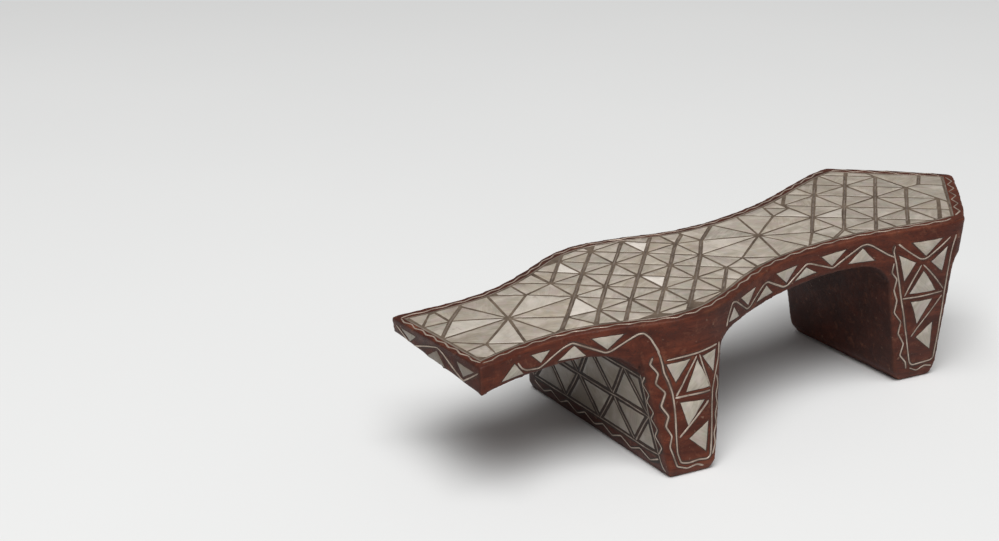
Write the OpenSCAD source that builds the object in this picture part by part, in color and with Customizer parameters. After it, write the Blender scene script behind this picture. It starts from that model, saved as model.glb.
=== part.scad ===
// Stilted bath clog: a sole and two stilts carved from one block of wood,
// inlaid with shell tiles set in dark mastic and with hammered-in metal wire.
// X runs heel to toe (+X = toe), Y across, Z up. The stilts stand on z = 0 and
// the origin is the centre of the outline's box on that floor.

/* [Sole] */
// Overall length, toe edge to heel tip
sole_length = 240; // [200:1:270]
// Width across the ball of the foot at the top face
ball_width = 80.4; // [70:0.2:95]
// Height of the heel tip above the floor
heel_height = 67.2; // [50:0.2:90]

/* [Inlay] */
// Thickness of the shell tiles
tile_t = 1.2; // [0.8:0.1:1.4]
// Half the width of a plain mastic seam between two tiles
seam = 0.42; // [0.3:0.02:0.6]
// Half the width of a seam that carries a wire
wire_seam = 0.7; // [0.6:0.05:1.2]
// Width of the inlaid wire
wire_w = 0.6; // [0.5:0.05:1]
// Depth of the inlaid wire
wire_d = 0.8; // [0.5:0.1:1.2]
// Wood border between the edge of the top face and the tiled field
border = 4; // [3.6:0.1:5]

/* [Hidden] */

kx = sole_length / 240;
ky = ball_width / 80.4;
kz = heel_height / 67.2;

wood_c = "#6b3a2c";
shell_c = "#b9ada2";
wire_c = "#c9b3a9";
mastic_c = "#5a4a42";

// Half width of the top face at stations along the sole.
OUT = [[120, 29.2], [112, 27.4], [104, 25.8], [96, 25.0], [88, 25.2], [80, 26.4], [72, 28.8],
       [64, 32.0], [56, 36.0], [50, 38.6], [44, 40.0], [38, 40.2], [32, 39.4], [24, 36.8],
       [16, 33.6], [8, 30.0], [0, 27.2], [-8, 25.4], [-16, 24.6], [-24, 24.6], [-32, 25.2],
       [-40, 26.4], [-48, 28.2], [-56, 30.6], [-64, 33.2], [-72, 35.8], [-80, 37.8], [-85, 38.4],
       [-88, 38.2], [-120, 1.2]];
// The same, with the side carried straight on past the heel corner.
SIDE = concat([for (p = OUT) if (p[0] > -81) p], [[-90, 39.6], [-121, 42]]);
// Height of the top face at stations along the sole.
TOP = [[120, 51.4], [90, 53.2], [60, 55.1], [30, 57.2], [0, 59.4], [-30, 61.8], [-60, 64.0],
       [-90, 65.9], [-120, 67.2]];
// Underside of the sole, toe to heel, with the coves where the stilts spring.
UNDER = [[120, 42.4], [100, 43.0], [88, 43.9], [78, 44.6], [71, 44.4], [66, 43.2], [62, 40.8],
         [59.6, 37.6], [58.5, 46], [29.6, 46], [29.2, 39.4], [27.4, 42.6], [24.6, 45.2],
         [19, 46.4], [10, 46.6], [0, 46.9], [-10, 47.9], [-20, 49.1], [-30, 50.1], [-40, 50.9],
         [-48, 51.2], [-52.5, 50.2], [-55.6, 47.6], [-57.7, 44], [-58.6, 52], [-84, 52],
         [-84.9, 47.6], [-86.6, 50.6], [-89.5, 52.6], [-95, 53.8], [-120, 55.2]];
// Front and rear edges of each stilt in the side view.
FS_FRONT = [[53.5, 0], [54.8, 3], [60.2, 46]];
FS_REAR = [[37.4, 0], [35.8, 3], [27.6, 46]];
RS_FRONT = [[-68.5, 0], [-65.3, 4], [-56, 52]];
RS_REAR = [[-83.2, 0], [-84.6, 4], [-85.6, 52]];
// Half widths of the stilts at the foot: front edge, rear edge.
FS_FOOT = [[44.4, 46.2], [45.2, 47.3]];
RS_FOOT = [[29.6, 31.4], [30.4, 32.4]];

function sc2(p) = [p[0] * kx, p[1] * ky];
function scz(p) = [p[0] * kx, p[1] * kz];
function w(x) = ky * lookup(x / kx, SIDE);
function ztop(x) = kz * lookup(x / kx, TOP);

// ---- plane geometry ----
function mid(P) = [for (k = [0, 1]) let (s = [for (p = P) p[k]]) s * [for (p = P) 1] / len(P)];
function area(P) = len(P) < 3 ? 0 : abs(tot([for (i = [0:1:len(P) - 1]) let (a = P[i], b = P[(i + 1) % len(P)]) a[0] * b[1] - a[1] * b[0]])) / 2;
function tot(v) = v * [for (x = v) 1];
// Keeps the part of polygon P where (q - a).n >= d.
function keep(P, a, n, d) = len(P) < 3 ? [] : [
  for (i = [0:1:len(P) - 1])
    let (q = P[i], r = P[(i + 1) % len(P)], u = (q - a) * n - d, v = (r - a) * n - d)
      each concat(u >= 0 ? [q] : [], u * v < 0 ? [q + (r - q) * u / (u - v)] : [])];
// Moves edge i of convex polygon P inward by D[i].
function inset(P, D, i = 0, Q = undef) =
  let (R = is_undef(Q) ? P : Q)
    i == len(P) ? R :
    let (a = P[i], b = P[(i + 1) % len(P)], e = (b - a) / norm(b - a), m = [-e[1], e[0]],
         n = (mid(P) - a) * m > 0 ? m : -m)
      inset(P, D, i + 1, keep(R, a, n, D[i]));
// Cuts a tile back to the tiled field: the side borders, the toe line and the two heel edges.
HC = [-88 * kx, 38.2 * ky];
HT = [-120 * kx, 1.2 * ky];
function side_cut(P, s) = len(P) < 3 ? [] :
  let (xs = [for (p = P) p[0]], a = [min(xs), s * (w(min(xs)) - border - 1.2)],
       b = [max(xs), s * (w(max(xs)) - border - 1.2)], e = (b - a) / norm(b - a))
    keep(P, a, s * [e[1], -e[0]], 0);
function heel_cut(P, s) =
  let (a = [HC[0], s * HC[1]], b = [HT[0], s * HT[1]], e = (b - a) / norm(b - a))
    keep(P, a, s * [-e[1], e[0]], border + 1.2);
function toe_cut(P) = keep(P, [116 * kx, 0], [-1, 0], 0);
function fielded(P) = heel_cut(heel_cut(side_cut(side_cut(toe_cut(P), 1), -1), 1), -1);
// A tile from its corner points and, for each edge, whether that seam carries a wire (1) or not (0).
function tile(P, E) = fielded(inset([for (p = P) sc2(p)], [for (i = [0:1:len(P) - 1]) (is_undef(E[i]) ? 0 : E[i]) ? wire_seam : seam]));
function good(T) = [for (t = T) if (area(t) > 4) t];

// One lattice cell, cut by both diagonals; the wire runs from the near toe corner b to the far heel corner d.
function cell(a, b, c, d) =
  let (m = (a + b + c + d) / 4)
    [tile([a, b, m], [0, 1, 0]), tile([b, c, m], [0, 0, 1]), tile([c, d, m], [0, 1, 0]), tile([d, a, m], [0, 0, 1])];
function lattice(X, Y) = [for (i = [0:1:len(X) - 2], j = [0:1:len(Y) - 2])
  each cell([X[i], Y[j]], [X[i], Y[j + 1]], [X[i + 1], Y[j + 1]], [X[i + 1], Y[j]])];

// ---- top face layout ----
S1 = [91, 0.3];
A = [[116.8, 0.5], [108, 13.5], [97, 21], [85.3, 21], [75, 12.7], [63.5, 0], [75.8, -12.4], [86.8, -21], [98.7, -19], [107.4, -10.8]];
TOE_STAR = good([
  tile([S1, A[0], [116.8, 4], A[1]]), tile([S1, A[1], A[2]]), tile([S1, A[2], A[3]]), tile([S1, A[3], [81.5, 19.4], A[4]], [0, 0, 1, 0]),
  tile([S1, A[4], A[5]], [0, 1, 0]), tile([S1, A[5], A[6]]), tile([S1, A[6], [83.5, -18.6], A[7]]), tile([S1, A[7], [98, -21], A[8]]),
  tile([S1, A[8], A[9]], [0, 1, 0]), tile([S1, A[9], [116.4, -0.6], A[0]], [0, 1, 0, 0])]);
TOE_CORNERS = good([
  tile([A[1], [116.8, 4], [116.8, 14.6]]), tile([A[1], [116.8, 14.6], [116.8, 20], [110, 27]]),
  tile([A[1], [111, 26], [97, 26], [97, 21]]), tile([A[9], [116.4, -0.6], [116.8, -0.6], [116.8, -12.8]], [1, 0, 0, 0]),
  tile([A[9], [116.8, -12.8], [110, -21], [107.6, -21]]), tile([[116.8, -13], [116.8, -26], [108, -26], [108, -22.8]]),
  tile([A[9], [107.6, -26], [98.7, -26], [98.7, -19]], [0, 0, 0, 1])]);
BALL_FRONT = good([
  tile([A[4], [63.5, 15.2], A[5]], [0, 0, 1]), tile([A[4], [71, 23], [70, 23.4], [63.5, 15.2]], [0, 0, 1, 0]),
  tile([[63.5, 15.2], [70, 23.4], [72, 32], [63.5, 32]], [1, 0, 0, 0]), tile([A[4], [81.5, 19.4], [81.5, 26], [71, 26], [71, 23]], [1, 0, 0, 0, 0]),
  tile([A[5], A[6], [63.5, -15.2]]), tile([A[6], [63.5, -15.2], [72.4, -23], [75.6, -24]]),
  tile([A[6], [83.5, -18.6], [83.5, -26], [75.6, -26]]), tile([[63.5, -15.2], [72.4, -23], [72, -32], [65, -32]])]);
XB = [63.5, 49.9, 35.7, 21.4, 7.6];
YB = [-45.6, -30.4, -15.2, 0, 15.2, 30.4, 45.6];
BALL = good(concat(lattice(XB, YB), [tile([[63.5, -15.2], [65, -32], [63.5, -32]])]));
S2 = [-19.8, 0];
B = [[7.6, 0], [-2, 12.4], [-12.7, 21], [-26.6, 21], [-36.1, 11.4], [-46.5, 0], [-36.4, -11], [-26.2, -21], [-13.4, -21], [-1.4, -11]];
WAIST_STAR = good([
  tile([S2, B[0], B[1]]), tile([S2, B[1], B[2]]), tile([S2, B[2], B[3]]), tile([S2, B[3], B[4]]), tile([S2, B[4], B[5]], [0, 1, 0]),
  tile([S2, B[5], B[6]]), tile([S2, B[6], [-28.6, -19.4], B[7]]), tile([S2, B[7], B[8]]), tile([S2, [-13.4, -20.4], B[9]], [0, 1, 0]),
  tile([S2, B[9], B[0]], [0, 1, 0])]);
WAIST_FRONT = good([
  tile([B[0], B[1], [7.6, 15.2]]), tile([[7.6, 15.2], B[1], [-1, 23]]), tile([[7.6, 15.2], [-1, 23], [-1, 32], [7.6, 32]]),
  tile([B[1], [-1, 23], [-1, 28], [-12.7, 28], B[2]]), tile([B[0], B[9], [7.6, -15]], [1, 0, 0]),
  tile([[7.6, -15], B[9], [0.4, -20.8]], [0, 0, 1]), tile([[7.6, -15], [0.4, -20.8], [0.4, -32], [7.6, -32]], [1, 0, 0, 0]),
  tile([B[9], [0.4, -20.8], [0.4, -28], [-12, -28], [-12, -19.2]], [0, 0, 0, 0, 1])]);
WAIST_REAR = good([
  tile([B[4], B[5], [-46.5, 12.2]], [1, 0, 0]), tile([B[4], [-46.5, 12.2], [-46.5, 17.2], [-38.4, 21.2]], [0, 0, 1, 0]),
  tile([[-46.5, 17.2], [-38.4, 21.2], [-38.4, 28], [-46.5, 28]], [1, 0, 0, 0]), tile([B[4], [-38.4, 21.2], [-38, 28], [-26.6, 28], B[3]]),
  tile([B[5], B[6], [-46.4, -13.6]]), tile([B[6], [-46.4, -13.6], [-39.5, -20]]), tile([[-46.4, -13.6], [-39.5, -20], [-39.5, -28], [-46.4, -28]]),
  tile([B[6], [-39.5, -20], [-39.5, -28], [-28.6, -28], [-28.6, -19.4]])]);
XH = [-46.5, -62.6, -78.7, -95.2];
YH = [-34.4, -17.2, 0, 17.2, 34.4];
HEEL = good(lattice(XH, YH));
K0 = [-95.2, 0];
K1 = [-101.2, 0.6];
HEEL_TIP = good([
  tile([K0, K1, [-111.6, -9.4], [-112, -26], [-95.2, -26]], [0, 1, 0, 0, 0]), tile([K1, [-111.6, -9.4], [-122, 0], [-109, 9]], [1, 0, 0, 0]),
  tile([K0, K1, [-109, 9], [-112, 26], [-95.2, 26]])]);
ALL_TOP = concat(TOE_STAR, TOE_CORNERS, BALL_FRONT, BALL, WAIST_STAR, WAIST_FRONT, WAIST_REAR, HEEL, HEEL_TIP);

// Straight wires of the top face, each from its near toe end to its far heel end.
CROSS = [
  [[81.4, 19.4], A[4], A[5], [49.9, -15.2], [36.6, -29.4]],
  [[69.6, 22.6], [63.5, 15.2], [49.9, 0], [35.7, -15.2], [23.6, -28.2]],
  [[60.6, 27.2], [49.9, 15.2], [35.7, 0], [21.4, -15.2], [12, -25.6]],
  [[50.4, 31.0], [35.7, 15.2], [21.4, 0], [7.6, -15], [1.4, -20]],
  [[38.6, 33.6], [35.7, 30.4], [21.4, 15.2], B[0], B[9], [-10.6, -18.2]],
  [[20.4, 29.4], [7.8, 15.6]],
  [[62.8, -16], [49.9, -30.4], [46.6, -34.2]],
  [[115, -2.2], A[9], A[8]],
  [B[4], B[5], [-62.6, -17.2], [-68.8, -24.0]],
  [[-38.8, 21], [-46.5, 17.2], [-62.6, 0], [-78.7, -17.2], [-86.6, -25.6]],
  [[-55.6, 24.7], [-62.6, 17.2], [-78.7, 0], [-94.6, -16.6]],
  [[-69.5, 27], [-78.7, 17.2], [-94.6, 0.6]],
  [K1, [-108.2, -6.2]]];

// ---- side layouts, in X and Z ----
TOE_SIDE = [[[110, 44.4], [104.6, 48.9], [101, 44.4]], [[97.5, 49.9], [90.4, 50.1], [93.8, 46.6]],
            [[86.8, 45.4], [81.4, 49.9], [77.1, 45.6]], [[75, 51.4], [64.8, 52.1], [70, 47.1]]];
TOE_SIDE_WIRE = [[103.3, 48.6], [101.6, 46.4], [99.6, 45.2], [94.3, 44.6], [91.4, 46], [85, 49.9], [81.8, 51.1], [78.6, 49.6], [70.4, 45.8], [68.6, 46.4], [60.4, 51.8], [58.6, 52.2], [56.6, 50.2], [55, 46.9], [54.8, 46.4]];
ARCH_SIDE = [[[23.4, 48.6], [20.4, 53.1], [16.8, 48.6]], [[15.7, 54.8], [5.7, 55.2], [10.4, 50.1]],
             [[4.6, 49.1], [-1.4, 53.5], [-5, 49.9]], [[-7.1, 56.4], [-17.5, 57.1], [-12.5, 51.6]],
             [[-17.1, 51.2], [-22.1, 55.3], [-26.8, 52.4]], [[-28.9, 58.1], [-39.3, 59.2], [-33.9, 53.7]],
             [[-41.1, 53.5], [-46.4, 58.7], [-51.4, 53.4]]];
ARCH_WIRE = [[24.6, 47.6], [24, 50.3], [21.4, 55.2], [18.8, 54.6], [11, 48.9], [8.6, 49], [0, 54.5], [-2.1, 54.9], [-10.8, 50.2], [-13.2, 50.4], [-22.1, 56.7], [-24.3, 56.5], [-34.3, 52.8], [-45.7, 59.5], [-48.2, 60], [-50.4, 59.1], [-56.4, 55.2], [-58.1, 54.6]];
FS_SIDE = [[[52, 40.3], [43.4, 41.1], [49.3, 33.9]], [[40.4, 40.3], [45.6, 29.9], [35.9, 29.9]],
           [[38.2, 41], [31.8, 41.7], [33.9, 34.5]], [[48.2, 26.5], [38.9, 25.6], [45.9, 17.8]], [[45.7, 13.1], [38, 17.8], [39.6, 7.4]]];
FS_WIRES = [
  [[54.5, 45.5], [53.2, 41.7], [53.4, 38.2], [51.9, 34.6], [51, 30.3], [50.7, 21.7], [50.9, 13.9], [50.9, 8.9], [49.8, 5.3], [46.4, 4.6], [42.9, 4.9], [39, 4.4], [37.9, 5.4], [37.1, 11.7], [36, 21.7], [34.8, 28.9], [33, 33.1], [30.4, 38.9], [29.4, 43]],
  [[52, 41.9], [40, 42.6], [30.8, 43.4]],
  [[40.9, 41.5], [47.4, 32], [50, 29]],
  [[39.4, 41.4], [36.4, 31.5], [35.8, 29]],
  [[49.8, 28.6], [36, 28.2]],
  [[49.6, 13.9], [37, 25.2]],
  [for (i = [0:1:8]) let (z = 32.6 - i * 3.3) [35.8 - 0.191 * (z - 3) + (i % 2 ? 1 : 2), z]],
  [[55.9, 43.4], [57.2, 41], [54.9, 37.4], [56.1, 33.9], [53.2, 30.6], [55.2, 26], [53, 22.4], [54.4, 18.9], [52.6, 15.3], [53.6, 11.7], [52.5, 8.5], [51.4, 4.2], [47.4, 2.6], [43.6, 3.4], [40.6, 2.2]]];
RS_SIDE = [[[-65.9, 58.6], [-77.9, 59.2], [-71.4, 53]], [[-61, 54.2], [-67.7, 50.6], [-64.2, 43.6]],
           [[-80.6, 55.4], [-74, 50.5], [-79.5, 45.6]], [[-71.4, 46.7], [-66.8, 37.9], [-78, 37.9]],
           [[-68, 34.3], [-77.1, 34.3], [-71.9, 24.6]], [[-79.5, 23.9], [-72.5, 18.3], [-80.2, 12.1]]];
RS_WIRES = [
  [[-59, 58.8], [-58.6, 56.7], [-60.2, 51], [-63.2, 38.9], [-65, 31.7], [-67.5, 21.7], [-69.8, 13.1], [-71.6, 7.4], [-73, 6.1], [-82, 6.5], [-83, 7.4], [-83.4, 18.9], [-82.7, 36], [-82.6, 43.9], [-82.9, 52.4], [-84, 59.4]],
  [[-60.2, 58.6], [-69.6, 51.8], [-71.8, 51.8], [-81.6, 58.8]],
  [[-70.2, 49.6], [-65, 37.4]], [[-71, 49.6], [-81.8, 38]], [[-64.8, 35.9], [-81.8, 36.5]], [[-81.8, 34.6], [-70, 18.9]],
  [[-59.4, 51.2], [-58.8, 47.4], [-61, 44.6], [-60.4, 40.1], [-62.2, 35.6], [-61.6, 30.6], [-64.8, 26.3], [-64.2, 21.3], [-67.2, 16.6], [-66.4, 11.7], [-69.6, 8.1], [-70.4, 5]],
  [[-71.9, 4.9], [-75.7, 3.2], [-79, 4.9], [-82.6, 4.2]]];

// Front face of the front stilt and back of the rear stilt, in Y and Z.
function row_up(y, z0, z1, s) = [[y, z1], [y - s, z0], [y + s, z0]];
// Half width of the front face at height z.
function face_w(z) = 45.2 - 0.263 * (z - 3);
// Two rows of triangles that share their edges; a wire lies along the middle of each shared edge.
FF_UP = [[-19, 35.2], [2, 35.2], [23, 35.2]];
FF_MID = [[-28, 21], [-7, 21], [14.5, 21], [35.6, 21]];
FF_LOW = [[-17.5, 7.2], [4.5, 7.2], [26, 7.2]];
FF_TRI = concat(
  [for (i = [0:1:2]) [FF_UP[i], FF_MID[i], FF_MID[i + 1]]], [for (i = [0:1:1]) [FF_UP[i], FF_UP[i + 1], FF_MID[i + 1]]],
  [[[-32.4, 35.2], FF_UP[0], FF_MID[0]], [[-32.4, 35.2], FF_MID[0], [-35.8, 21]], [FF_UP[2], [32.4, 35.2], FF_MID[3]]],
  [for (i = [0:1:2]) [FF_MID[i], FF_MID[i + 1], FF_LOW[i]]], [for (i = [0:1:1]) [FF_LOW[i], FF_LOW[i + 1], FF_MID[i + 1]]],
  [[[-35.8, 21], FF_MID[0], [-39.3, 7.2]], [[-39.3, 7.2], FF_MID[0], FF_LOW[0]], [FF_LOW[2], FF_MID[3], [39.3, 7.2]]]);
FACE_F = [for (t = FF_TRI) inset(t, [0.9, 0.9, 0.9])];
// A straight wire from a to b, stopping g short of both.
function between(a, b, g = 1) = let (e = (b - a) / norm(b - a)) [a + e * g, b - e * g];
FACE_F_WIRES = concat(
  [[[-32, 35.2], [32, 35.2]], [[-35.2, 21], [35, 21]], [[-38.6, 7.2], [38.6, 7.2]],
   [[32.6, 34.5], [36, 21], [39.5, 7.9]], [[-32.6, 34.5], [-36, 21], [-39.5, 7.9]]],
  [for (i = [0:1:2]) each [between(FF_UP[i], FF_MID[i]), between(FF_UP[i], FF_MID[i + 1])]],
  [for (i = [0:1:2]) each [between(FF_MID[i], FF_LOW[i]), between(FF_LOW[i], FF_MID[i + 1])]],
  [between([-32.4, 35.2], FF_MID[0]), between(FF_MID[0], [-39.3, 7.2])],
  [for (s = [1, -1]) [for (i = [0:1:9]) let (z = 36 - i * 3.1) [s * (face_w(z) - (i % 2 ? 3.2 : 1.4)), z]]],
  [[for (i = [0:1:14]) [40 - i * 5.7, i % 2 ? 2.8 : 5.4]]]);
FACE_B = concat(
  [for (y = [-16, 0, 16]) row_up(y, 29, 38.6, 5.4)], [for (y = [-24, -8, 8, 24]) [[y - 5.4, 40], [y + 5.4, 40], [y, 31]]],
  [for (y = [-16, 0, 16]) [[y - 5.4, 24.6], [y + 5.4, 24.6], [y, 14.6]]], [for (y = [-8, 8]) row_up(y, 12, 22, 5.2)]);
FACE_B_WIRES = [
  [[-29.6, 42.6], [29.6, 42.6]], [[-28.2, 26.8], [28.2, 26.8]], [[-27.2, 9.8], [27.2, 9.8]],
  [[30.2, 42], [28.8, 26], [27.6, 10.4]], [[-30.2, 42], [-28.8, 26], [-27.6, 10.4]],
  [for (i = [0:1:9]) [(i % 2 ? 30.4 : 32.2) - i * 0.24, 44 - i * 4]],
  [for (i = [0:1:9]) [-((i % 2 ? 30.4 : 32.2) - i * 0.24), 44 - i * 4]],
  [for (i = [0:1:10]) [30 - i * 6, i % 2 ? 4.4 : 7.2]]];
TOE_END = [[[-22.2, 48.6], [-12.8, 48.6], [-17.5, 45.2]], [[-6, 44], [6.4, 44], [0.4, 48]], [[13.2, 48.6], [23.6, 48.6], [18, 45]]];
TOE_END_WIRE = [[-25.4, 48.6], [-17.5, 43.6], [0.4, 49.4], [18, 43.4], [25.8, 48.8]];
// Heel edges, in distance along the slanted edge from the heel corner and Z.
HEEL_EDGE = [[[4.3, 56.1], [11.3, 56.3], [7.8, 61.5]], [[12.6, 62.5], [20.1, 62.8], [16.5, 57.6]], [[20.8, 56.7], [28.2, 56.9], [24.4, 61.9]],
             [[29.6, 63.1], [36.9, 63.4], [33.3, 57.9]], [[37.8, 57.1], [44.3, 57.3], [40.9, 61.9]]];
HEEL_EDGE_WIRE = [[2.9, 58.3], [7.7, 62.9], [8.5, 62.9], [15.9, 56.1], [16.7, 56.1], [24.2, 63.3], [25, 63.3], [32.7, 56.7], [33.5, 56.7], [40.7, 63.5], [41.5, 63.5], [46.3, 58.7]];

// ---- skins: thin layers just under each carved face, from depth t0 to depth t1 ----
module xz(P) rotate([90, 0, 0]) linear_extrude(height = 140, center = true) polygon(P);
module skin_top(t0, t1) xz(concat([for (p = TOP) [p[0] * kx, p[1] * kz - t0]], [for (i = [len(TOP) - 1:-1:0]) [TOP[i][0] * kx, TOP[i][1] * kz - t1]]));
module skin_side(t0, t1) linear_extrude(height = 90) polygon(concat([for (p = OUT) [p[0] * kx, p[1] * ky - t0]], [for (i = [len(OUT) - 1:-1:0]) [OUT[i][0] * kx, OUT[i][1] * ky - t1]]));
module band(P, d0, d1) xz(concat([for (p = P) [p[0] * kx + d0, p[1] * kz]], [for (i = [len(P) - 1:-1:0]) [P[i][0] * kx + d1, P[i][1] * kz]]));
module heel_frame() translate([HC[0], HC[1], 0]) rotate([0, 0, atan2(HT[1] - HC[1], HT[0] - HC[0])]) children();

// ---- prisms through those skins ----
module up(T) for (t = T) translate([0, 0, 30]) linear_extrude(height = 60) polygon(t);
module across(T) for (t = T) translate([0, 70, 0]) rotate([90, 0, 0]) linear_extrude(height = 64) polygon([for (p = t) scz(p)]);
module along(T) for (t = T) rotate([90, 0, 90]) translate([0, 0, -130]) linear_extrude(height = 270) polygon([for (p = t) [p[0] * ky, p[1] * kz]]);
// Wire outline: a strip of width wire_w along the points P, with mitred corners.
function unit(v) = v / norm(v);
function turn(P, i) =
  let (n = len(P), d0 = i > 0 ? unit(P[i] - P[i - 1]) : unit(P[1] - P[0]), d1 = i < n - 1 ? unit(P[i + 1] - P[i]) : d0,
       m = unit(d0 + d1), c = max(0.5, m * d1)) [-m[1], m[0]] * wire_w / 2 / c;
function strip(P) = concat([for (i = [0:1:len(P) - 1]) P[i] + turn(P, i)], [for (i = [len(P) - 1:-1:0]) P[i] - turn(P, i)]);

// Border wire of the top face: scallops along both sides, steps across the toe, teeth along the heel edges.
function sidew(s) = [for (i = [0:1:54]) let (x = 117.4 - i * 3.72) [x * kx, s * (w(x * kx) - (i % 2 ? 1.9 : 2.9))]];
function teeth(s) = [for (i = [0:1:10]) let (t = 2.4 + i * 4.3, d = i % 2 ? 1.2 : 3.4, e = unit(HT - HC), q = HC + e * t + [e[1], -e[0]] * -d) [q[0], s * q[1]]];
function toew() = [for (i = [0:1:14]) [(i % 2 ? 119.2 : 118.2) * kx, (25.2 - i * 3.6) * ky]];
BORDER = [sidew(1), sidew(-1), teeth(1), teeth(-1), toew()];
// Outline of the tiled field, d inside its edge, from the toe round the near side to the tip.
function edge_in(q, d) = let (e = unit(HT - HC)) q - [e[1], -e[0]] * d;
function rim(d) = concat([[(117.4 - d) * kx, w((117.4 - d) * kx) - border - d]], [for (x = [112:-8:-80]) [x * kx, w(x * kx) - border - d]],
  [for (q = [HC + unit(HT - HC) * 1.8, HT + unit(HC - HT) * 2.4]) edge_in(q, border + d)]);
function flip(P) = [for (i = [len(P) - 1:-1:0]) [P[i][0], -P[i][1]]];
FIELD = concat(rim(0), flip(rim(0)));
LINER = let (r = rim(0.4)) [r, flip(r), [[r[0][0], -r[0][1]], r[0]], [r[len(r) - 1] + [0, 0.7], flip(r)[0] - [0, 0.7]]];

module field_prism() translate([0, 0, 30]) linear_extrude(height = 60) polygon(FIELD);
module tiles_top(T) color(shell_c) intersection() { up(T); skin_top(0, tile_t); }
module wires_top(L, t0, t1) intersection() { up([for (l = L) strip(l)]); skin_top(t0, t1); }

module both() { children(); mirror([0, 1, 0]) children(); }
module sd(s) mirror([0, s < 0 ? 1 : 0, 0]) children();

// ---- wood ----
module plan(h, t = 0) linear_extrude(height = h) polygon(concat([for (p = OUT) [p[0] * kx, p[1] * ky - t]], [for (i = [len(OUT) - 1:-1:0]) [OUT[i][0] * kx, t - OUT[i][1] * ky]]));
module sole() intersection() {
  plan(90);
  xz(concat([for (p = TOP) scz(p)], [for (i = [len(UNDER) - 1:-1:0]) scz(UNDER[i])]));
}
// One level of a stilt: its outline at height z, drawn in by t across and out by ex fore and aft.
module level(z, P, t, ex) {
  n = len(P) - 1;
  Q = concat([P[0] + [ex, 0]], P, [P[n] - [ex, 0]]);
  translate([0, 0, z * kz - (z > 10 ? 0.2 : 0)]) linear_extrude(height = 0.2)
    polygon(concat([for (p = Q) [p[0] * kx, p[1] * ky - t]], [for (i = [n + 2:-1:0]) [Q[i][0] * kx, t - Q[i][1] * ky]]));
}
module stilt(F, R, foot, t = 0, ex = 0) hull() {
  for (i = [0, 1]) level(F[i][1], [[F[i][0], foot[i][0]], [R[i][0], foot[i][1]]], t, ex);
  level(F[2][1], concat([[F[2][0], lookup(F[2][0], OUT)]], [for (p = OUT) if (p[0] < F[2][0] && p[0] > R[2][0]) p], [[R[2][0], lookup(R[2][0], OUT)]]), t, ex);
}
module front_stilt(t = 0, ex = 0) stilt(FS_FRONT, FS_REAR, FS_FOOT, t, ex);
module rear_stilt(t = 0, ex = 0) stilt(RS_FRONT, RS_REAR, RS_FOOT, t, ex);
module heel_block(t = 0, ex = 0) union() { rear_stilt(t, ex); translate([0, 0, 51.9 * kz]) plan(30, t); }
module blank() union() { sole(); front_stilt(); rear_stilt(); }

// ---- inlay on the flanks, for the near (left) side; depth d, standing out by o for a cutter ----
function strips(L) = [for (l = L) strip(l)];
module flank(T, W, d, o = 0) difference() {
  intersection() { across(T); skin_side(-o, d); }
  if (len(W) > 0) intersection() { across(strips(W)); skin_side(-6, 6); }
}
module fs_flank(T, W, d) difference() {
  intersection() { across(T); front_stilt(); }
  front_stilt(d, 8);
  if (len(W) > 0) across(strips(W));
}
module rs_flank(T, W, d) difference() {
  intersection() { across(T); heel_block(); }
  heel_block(d, 8);
  if (len(W) > 0) across(strips(W));
}
// Cutters for the same inlay on both flanks at once.
module fs_pockets(T, W, d) difference() {
  both() across(T);
  front_stilt(d, 8);
  if (len(W) > 0) both() across(strips(W));
}
module rs_pockets(T, W, d) difference() {
  both() across(T);
  heel_block(d, 8);
  if (len(W) > 0) both() across(strips(W));
}
module heel_prisms(T, W, d, o = 0) difference() {
  for (p = T) translate([0, d, 0]) rotate([90, 0, 0]) linear_extrude(height = d + o) polygon([for (q = p) [q[0] * kx, q[1] * kz]]);
  for (p = strips(W)) translate([0, d + 1, 0]) rotate([90, 0, 0]) linear_extrude(height = d + o + 2) polygon([for (q = p) [q[0] * kx, q[1] * kz]]);
}
module face(T, W, P, d0, d1) difference() {
  intersection() { along(T); band(P, d0, d1); }
  if (len(W) > 0) intersection() { along(strips(W)); band(P, -6, 6); }
}

module wood_body() color(wood_c) difference() {
  blank();
  intersection() { field_prism(); skin_top(-3, tile_t); }
  wires_top(BORDER, -3, wire_d);
  for (s = [1, -1]) sd(s) {
    flank(concat(TOE_SIDE, ARCH_SIDE), [TOE_SIDE_WIRE, ARCH_WIRE], tile_t, 3);
    flank(strips([TOE_SIDE_WIRE, ARCH_WIRE]), [], wire_d, 3);
    heel_frame() { heel_prisms(HEEL_EDGE, [HEEL_EDGE_WIRE], tile_t, 3); heel_prisms([strip(HEEL_EDGE_WIRE)], [], wire_d, 3); }
  }
  fs_pockets(FS_SIDE, FS_WIRES, tile_t);
  fs_pockets(strips(FS_WIRES), [], wire_d);
  rs_pockets(RS_SIDE, RS_WIRES, tile_t);
  rs_pockets(strips(RS_WIRES), [], wire_d);
  face(FACE_F, FACE_F_WIRES, FS_FRONT, -tile_t, 3);
  face(strips(FACE_F_WIRES), [], FS_FRONT, -wire_d, 3);
  face(FACE_B, FACE_B_WIRES, RS_REAR, tile_t, -3);
  face(strips(FACE_B_WIRES), [], RS_REAR, wire_d, -3);
  face(TOE_END, [TOE_END_WIRE], TOE_EDGE, -tile_t, 3);
  face([strip(TOE_END_WIRE)], [], TOE_EDGE, -wire_d, 3);
}
TOE_EDGE = [[120, 38], [120, 56]];

module top_mastic_bed() color(mastic_c) difference() {
  intersection() {
    translate([0, 0, 30]) linear_extrude(height = 60) difference() { polygon(FIELD); for (t = ALL_TOP) polygon(t); }
    skin_top(0.1, tile_t);
  }
  wires_top(concat(CROSS, LINER), -1, wire_d);
}

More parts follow.
